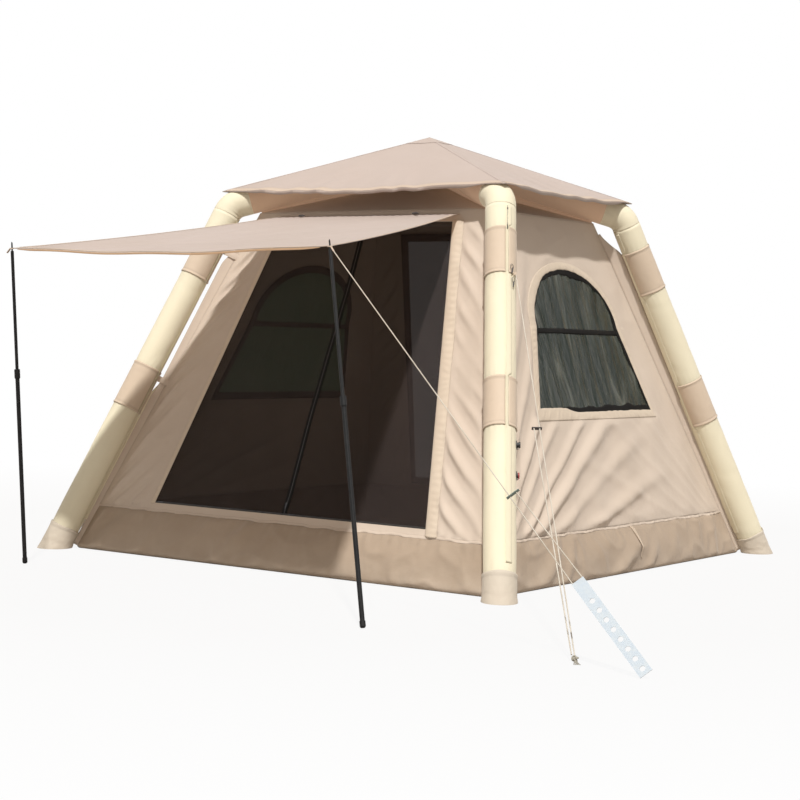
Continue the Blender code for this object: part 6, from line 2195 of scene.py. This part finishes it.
@dataclass(frozen=True)
class Groundsheet:
    """The bathtub floor, its bulging sides, the gathered seam above and the peg loops."""

    wardrobe: Wardrobe
    sizes: WallSizes
    walls: dict[WallName, Wall]
    bulge: float = 0.032
    sole_inset: float = 0.012
    puff_depth: float = 0.022
    sag_depth: float = 0.008
    crease_depth: float = 0.010
    gather_depth: float = 0.0032
    loop_half: float = 0.0065
    loop_foot: float = 0.075

    def side_point(self, wall: Wall, share: float, height: float, lift: float = 0.0) -> Vector:
        """A point of a side, its share from -1 to 1 along the wall."""
        sizes = self.sizes
        held = 1.0 - share**2
        swell = self.bulge * math.sin(math.pi * min(height / sizes.tray_height, 1.0)) * held
        probe = Vector((share * 1.4, height, wall.name.value))
        below = sizes.tray_height - height
        sag = smooth_step(height, 0.03) * smooth_step(below, 0.02) * smooth_step(held, 0.12)
        slant = fold((share * 1.3 - height * 0.9) / 0.26 + 0.7 * ripple(probe, 0.4, 3.0))
        puffs = self.puff_depth * slant * (0.5 + ripple(probe, 0.30, 8.0))
        puffs += self.sag_depth * ripple(probe, 0.40, 5.0)
        creases = puffs + self.crease_depth * crease(probe, 0.20, 4.0)
        seam = math.exp(-below / 0.04) * smooth_step(below, 0.01)
        tucks = math.sin(math.tau * share * 1.4 / 0.060 + 5.0 * ripple(probe, 0.2, 9.0))
        gathers = self.gather_depth * seam * tucks
        out = swell + creases * sag + gathers + lift
        inset = self.sole_inset * (1.0 - smooth_step(height, self.sole_inset))
        matrix = Matrix.Rotation(math.radians(wall.name.value), 4, "Z")
        depth = sizes.foot_half - wall.slope * height - inset
        other = self.walls[WallName.RIGHT if wall.has_door else WallName.FRONT].slope
        half = sizes.foot_half - other * height - inset
        return matrix @ Vector((share * half, -depth - out, height))

    def build(self) -> None:
        """Make the sheet, its seam and loops."""
        sizes = self.sizes
        order = [WallName.FRONT, WallName.RIGHT, WallName.REAR, WallName.LEFT]
        shape = Shape()

        def spot(u: float, v: float) -> tuple[Wall, float, float]:
            turn = (u % 1.0) * 4.0
            wall = self.walls[order[int(turn) % 4]]
            return wall, mix(-1.0, 1.0, turn - int(turn)), sizes.tray_height * v

        shape.grid(
            960, 24, lambda u, v: self.side_point(*spot(u, v)),
            lambda u, v: (u * 11.3, v * sizes.tray_height), wrap=True,
            seam=lambda u, v: math.exp(-(1.0 - v) / 0.06),
        )
        shape.fill_foot(0.001, 0.05)
        tray = shape.finish(
            "groundsheet", [self.wardrobe.tray], sizes.cloth,
            facing=lambda point: -UP if point.z < 0.0005 else way_aside(point),
        )
        enter(tray, Body.TENT, Slot.TRAY, "floor_tray")
        shape = Shape()

        def seam(u: float, v: float) -> Vector:
            wall, share, _ = spot(u, 1.0)
            probe = Vector((share * 1.4, wall.name.value, 2.0))
            height = sizes.tray_height + mix(-0.006, 0.006, v) + 0.005 * ripple(probe, 0.09)
            pucker = 0.0012 * abs(ripple(probe, 0.018)) * 2.0
            crown = 0.0010 * math.sin(math.pi * v)
            below = self.side_point(wall, share, min(height, sizes.tray_height), 0.0004 + crown + pucker)
            if height <= sizes.tray_height:
                return below
            along = share * wall.half_width(height)
            return wall.point(along, height, wall.relief(along, height) + 0.0006 + crown + pucker)

        shape.grid(1200, 4, seam, lambda u, v: (u * 9.8, v * 0.02), wrap=True)
        band = shape.finish("floor_seam", [self.wardrobe.wall], 0.0010, outward=True, facing=way_aside)
        enter(band, Body.TENT, Slot.TRAY)
        self._peg_loops()

    def _loop_point(self, wall: Wall, share: float, shift: float, u: float, v: float) -> Vector:
        """A point of one strand of a peg loop."""
        spread = shift / self.sizes.foot_half * (1.0 - 0.35 * v)
        height = mix(self.sizes.tray_height - 0.004, self.loop_foot, v)
        across = mix(-0.0045, 0.0045, u) / self.sizes.foot_half
        lift = 0.0035 + 0.003 * math.sin(math.pi * v)
        return self.side_point(wall, share + spread + across, height, lift)

    def _peg_loops(self) -> bpy.types.Object:
        """Webbing loops that hang from the seam for the pegs."""
        shape = Shape()
        for name, share in ((WallName.RIGHT, 0.09), (WallName.LEFT, -0.09), (WallName.REAR, 0.0)):
            for shift in (-self.loop_half, self.loop_half):
                place = partial(self._loop_point, self.walls[name], share, shift)
                shape.grid(3, 24, place, lambda u, v: (u * 0.009, v * 0.18))
        loops = shape.finish("peg_loops", [self.wardrobe.band], 0.0014, outward=True, facing=way_aside)
        return enter(loops, Body.TENT, Slot.BAND)


# awning


@dataclass(frozen=True)
class RaisedFlap:
    """The door flap raised as an awning: cloth, hem, bead, grommets, guy tabs and toggles."""

    wardrobe: Wardrobe
    wall: Wall
    ropes: GuyRopes
    hinge_height: float = 1.940
    hinge_half: float = 0.620
    bead: float = 0.003
    bead_gap: float = 0.0004
    margin: float = 0.012
    sag: float = 0.024
    cloth: float = CLOTH
    hole: float = 0.0066
    grommet: float = 0.0125
    tension_depth: float = 0.0052
    ripple_depth: float = 0.004
    crease_depth: float = 0.0035
    gather_depth: float = 0.003
    flutter: float = 0.0035
    cut: float = 0.0088
    hem_width: float = 0.030
    edge_depth: float = 0.010
    toggle_across: float = 0.62
    toggle_radius: float = 0.0066
    loop_radius: float = 0.0020

    @property
    def corner(self) -> Triple:
        """The middle of the right corner's grommet, where the guy rope is tied."""
        return self.ropes.corner

    @property
    def hinge(self) -> Vector:
        """The middle of the hinge, just in front of the wall."""
        depth = self.wall.sizes.foot_half - self.wall.slope * self.hinge_height
        return Vector((0.0, -depth, self.hinge_height)) + self.wall.normal * (self.bead + self.bead_gap)

    @property
    def way(self) -> Vector:
        """From the hinge's middle to the middle between the corners."""
        return Vector((0.0, self.corner[1], self.corner[2])) - self.hinge

    @property
    def length(self) -> float:
        """How far the corners are from the hinge."""
        return self.way.length

    @property
    def frame(self) -> Matrix:
        """X along the hinge to the left, Y out along the flap, Z up out of it."""
        outward = self.way.normalized()
        left = Vector((-1.0, 0.0, 0.0))
        basis = Matrix((left, outward, left.cross(outward))).transposed().to_4x4()
        return Matrix.Translation(self.hinge) @ basis

    def surface(self, across: float, share: float, lift: float = 0.0) -> Vector:
        """A point of the cloth's middle, across from -1 to 1 and out from 0 to 1."""
        length = self.length
        half = mix(self.hinge_half, self.corner[0] + self.margin, share)
        sag = self.sag * share * (1.0 - across**2) + self.sag * math.sin(math.pi * share) / 2.0
        held = smooth_step(1.0 - share, 0.1) + smooth_step(share - 0.9, 0.1) * (1.0 - across**2)
        drop = sag * min(held, 1.0) * smooth_step(share, 0.15)
        probe = Vector((across * half, share * length, 0.0))
        free = smooth_step(1.0 - abs(across), 0.10) * smooth_step(share, 0.10)
        free *= smooth_step(1.0 - share, 0.06)
        tension = 0.0
        for sign in SIDES:
            reach = Vector((across * half - sign * self.corner[0], (share - 1.0) * length, 0.0))
            angle = math.atan2(reach.y, reach.x)
            fade = math.exp(-reach.length / 0.75) * smooth_step(reach.length, 0.15)
            tension += math.sin(angle * 34.0 + 2.0 * ripple(probe, 0.3)) * fade
        folds = self.tension_depth * tension + self.ripple_depth * ripple(probe, 0.25, 5.0)
        folds += self.crease_depth * crease(probe, 0.3, 2.0)
        gather = self.gather_depth * math.exp(-share / 0.05) * smooth_step(share, 0.03)
        gather *= math.sin(probe.x * math.tau / 0.05)
        flutter = self.flutter * math.sin(probe.x * 9.0 + 1.0) * smooth_step(share - 0.8, 0.2)
        flutter *= 1.0 - across**2
        height = -drop + folds * free + gather + flutter + lift
        return self.frame @ Vector((across * half, share * (length + self.margin), height))

    def build(self) -> None:
        """Make the flap and its trim."""
        shape = Shape()
        length = self.length
        shape.grid(
            110, 90, lambda u, v: self.surface(mix(-1.0, 1.0, u), v, self.cloth / 2.0),
            lambda u, v: (mix(-1.0, 1.0, u) * mix(self.hinge_half, self.corner[0], v), v * length),
            seam=lambda u, v: near_edges(u, 0.012) + near_edges(v, 0.012),
        )
        self._clip(shape)
        cloth = shape.finish(
            "awning_cloth", [self.wardrobe.fly, self.wardrobe.painted_light_underside], self.cloth, facing=way_up
        )
        enter(cloth, Body.FLAP, Slot.FLY, "awning")
        trim = [self._hem(), self._edge(), self._fittings(), self._toggles()]
        wide = 2.0 * (self.corner[0] + self.margin)
        (self.hinge_half + self.corner[0] + self.margin) * (length + self.margin)

    def _clip(self, shape: Shape) -> None:
        """Cut the cloth off at the grommets, so that the poles' spikes pass."""
        for sign in SIDES:
            corner = Vector((sign * self.corner[0], self.corner[1], self.corner[2]))
            inward = self.frame.to_3x3() @ Vector((sign * 0.7, -1.0, 0.0)).normalized()
            bmesh.ops.bisect_plane(
                shape.bm, geom=shape.bm.verts[:] + shape.bm.edges[:] + shape.bm.faces[:],
                plane_co=corner + inward * self.cut, plane_no=-inward, clear_outer=True,
            )

    def _front_point(self, u: float, v: float) -> Vector:
        """A point of the hem along the flap's front edge."""
        share = 1.0 - self.hem_width * (1.0 - v) / self.length
        return self.surface(mix(-0.972, 0.972, u), share, self.cloth / 2.0 + 0.0006)

    def _side_point(self, sign: float, u: float, v: float) -> Vector:
        """A point of the slim hem along one of the flap's sides."""
        share = mix(0.02, 0.965, v)
        half = mix(self.hinge_half, self.corner[0], share)
        across = sign * (1.0 - 0.022 * (1.0 - u) / half)
        return self.surface(across, share, self.cloth / 2.0 + 0.0006)

    def _hem(self) -> bpy.types.Object:
        """The hem along the flap's front edge, brighter as painted light, and slim hems along its sides.
        """
        shape = Shape()
        shape.grid(
            110, 4, self._front_point, lambda u, v: (u * 2.1, v * self.hem_width),
            seam=lambda u, v: math.exp(-v / 0.2),
        )
        for sign in SIDES:
            shape.grid(
                3, 90, partial(self._side_point, sign), lambda u, v: (u * 0.02, v * self.length),
                seam=lambda u, v: math.exp(-u / 0.2),
            )
        hem = shape.finish("awning_hem", [self.wardrobe.hem], 0.0010, outward=True, facing=way_up)
        return enter(hem, Body.FLAP, Slot.FLY)

    def _edge(self) -> bpy.types.Object:
        """The turned-down edge along the flap's front, coloured orange as painted light shining through
        it.
        """
        shape = Shape()

        def place(u: float, v: float) -> Vector:
            across = mix(-0.94, 0.94, u)
            drop = self.edge_depth * v * smooth_step(1.0 - abs(across) + 0.02, 0.2)
            flutter = 0.001 * ripple(Vector((across * 4.0, v, 0.0)), 0.5)
            point = self.surface(across, 1.0, -self.cloth / 2.0 - 0.0008 - drop)
            return point + Vector((0.0, flutter * v, 0.0))

        shape.grid(
            120, 4, place, lambda u, v: (u * 2.0, v * 0.02), seam=lambda u, v: math.exp(-v / 0.15)
        )
        edge = shape.finish(
            "awning_edge", [self.wardrobe.edge], 0.0010, facing=lambda point: Vector((0.0, -1.0, 0.0))
        )
        return enter(edge, Body.FLAP, Slot.FLY)

    def _fittings(self) -> bpy.types.Object:
        """The hinge bead, and the ring, patch and guy tab of each corner."""
        shape = Shape()
        reach = Vector((self.hinge_half, 0.0, 0.0))
        shape.tube(
            line(self.hinge - reach, self.hinge + reach, 80),
            lambda u, v: self.bead * (0.94 + 0.06 * math.sin(v * 300.0)), 12,
        )
        normal = self.frame.to_3x3().col[2]
        turn = normal.to_track_quat("Z", "Y").to_matrix().to_4x4()
        way = self.ropes.way()
        thick = (self.grommet - self.hole) / 2.0
        for sign in SIDES:
            corner = Vector((sign * self.corner[0], self.corner[1], self.corner[2]))
            shape.ring(Matrix.Translation(corner) @ turn, self.hole + thick + 0.0002, thick, 28)
            rope_way = Vector((way.x * sign, way.y, way.z))
            level = (rope_way - normal * rope_way.dot(normal)).normalized()
            start = corner + level * (self.grommet - 0.0035)
            end = corner + rope_way * self.ropes.tab_reach
            away = (end - start).normalized()
            across = away.cross(Vector((0.0, 1.0, 0.0))).normalized()
            basis = Matrix((away, across.cross(away).normalized(), across)).transposed().to_4x4()
            shape.box(
                ((end - start).length, self.ropes.tab_width, self.ropes.tab_depth),
                Matrix.Translation((start + end) / 2.0) @ basis, 0.0005,
            )
        fittings = shape.finish("awning_fittings", [self.wardrobe.hem])
        return enter(fittings, Body.FLAP, Slot.FLY)

    def _toggles(self) -> bpy.types.Object:
        """The dark toggles near the hinge that hold the flap when it is rolled."""
        shape = Shape()
        for sign in SIDES:
            root = self.surface(sign * self.toggle_across, 0.035, 0.006)
            path = [
                root + Vector((0.0, -0.030 * step / 6.0, 0.006 * math.sin(math.pi * step / 6.0)))
                for step in range(7)
            ]
            shape.tube(path, lambda u, v: self.loop_radius, 6)
            tip = path[-1]
            shape.tube(
                [tip + Vector((x, -0.004, 0.003)) for x in (-0.020, -0.010, 0.0, 0.010, 0.020)],
                lambda u, v: self.toggle_radius * (0.6 + 0.4 * math.sin(math.pi * v)), 10,
            )
        toggles = shape.finish("awning_toggles", [self.wardrobe.toggle])
        return enter(toggles, Body.FLAP, Slot.TOGGLE)


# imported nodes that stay


def dress_nodes(nodes: dict[str, bpy.types.Object], wardrobe: Wardrobe) -> None:
    """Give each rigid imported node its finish.

    Args:
        nodes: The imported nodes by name.
        wardrobe: The finishes.
    """
    finishes = (
        (wardrobe.hub, "roof_hub"),
        (wardrobe.pole, "right_pole_lower right_pole_upper left_pole_lower left_pole_upper"),
        (wardrobe.valve, "inflate_valve deflate_valve inflate_cap"),
        (wardrobe.red, "deflate_cap"),
        (wardrobe.hardware, "door_centre_pull door_bottom_left_pull door_bottom_right_pull"),
        (wardrobe.hardware, "leg_zip_pull"),
        (wardrobe.slider, "awning_guy_slider"),
        (wardrobe.toggle, "leg_guy_slider"),
        (wardrobe.strap, "ladder_strap"),
    )
    for finish, names in finishes:
        for name in names.split():
            for slot in nodes[name].material_slots:
                slot.material = finish
            LOG.info("%s keeps its packed shape", name)


def main() -> None:
    """Build the whole scene round the frame."""
    logging.basicConfig(level=logging.INFO, format="%(name)s: %(message)s")
    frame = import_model()
    wardrobe = Wardrobe()
    Viewpoint().build()
    legs = [
        AirLeg(wardrobe, "front_left", -1, -1, 15.0),
        AirLeg(wardrobe, "front_right", 1, -1, -36.0),
        AirLeg(wardrobe, "rear_left", -1, 1, 10.0),
        AirLeg(wardrobe, "rear_right", 1, 1, -125.0),
    ]
    fittings = FrontRightFittings(wardrobe, legs[1])
    ropes = GuyRopes(wardrobe)
    ropes.build(fittings.lug_foot())
    Studio().build()
    for leg in legs:
        leg.build()
    fittings.build()
    PyramidFly(wardrobe, legs[1]).build()
    inner_roof = InnerRoof(wardrobe)
    inner_roof.build()
    sizes = WallSizes()
    walls = {name: Wall(name, wardrobe, sizes) for name in WallName}
    for wall in walls.values():
        wall.build()
    CornerFlanges(wardrobe, sizes, legs, inner_roof).build()
    Panels(wardrobe, sizes, walls).build()
    Groundsheet(wardrobe, sizes, walls).build()
    RaisedFlap(wardrobe, walls[WallName.FRONT], ropes).build()
    dress_nodes(frame["nodes"], wardrobe)
    bpy.context.scene.view_settings.view_transform = "Standard"
    bpy.context.view_layer.update()


if __name__ == "__main__":
    main()
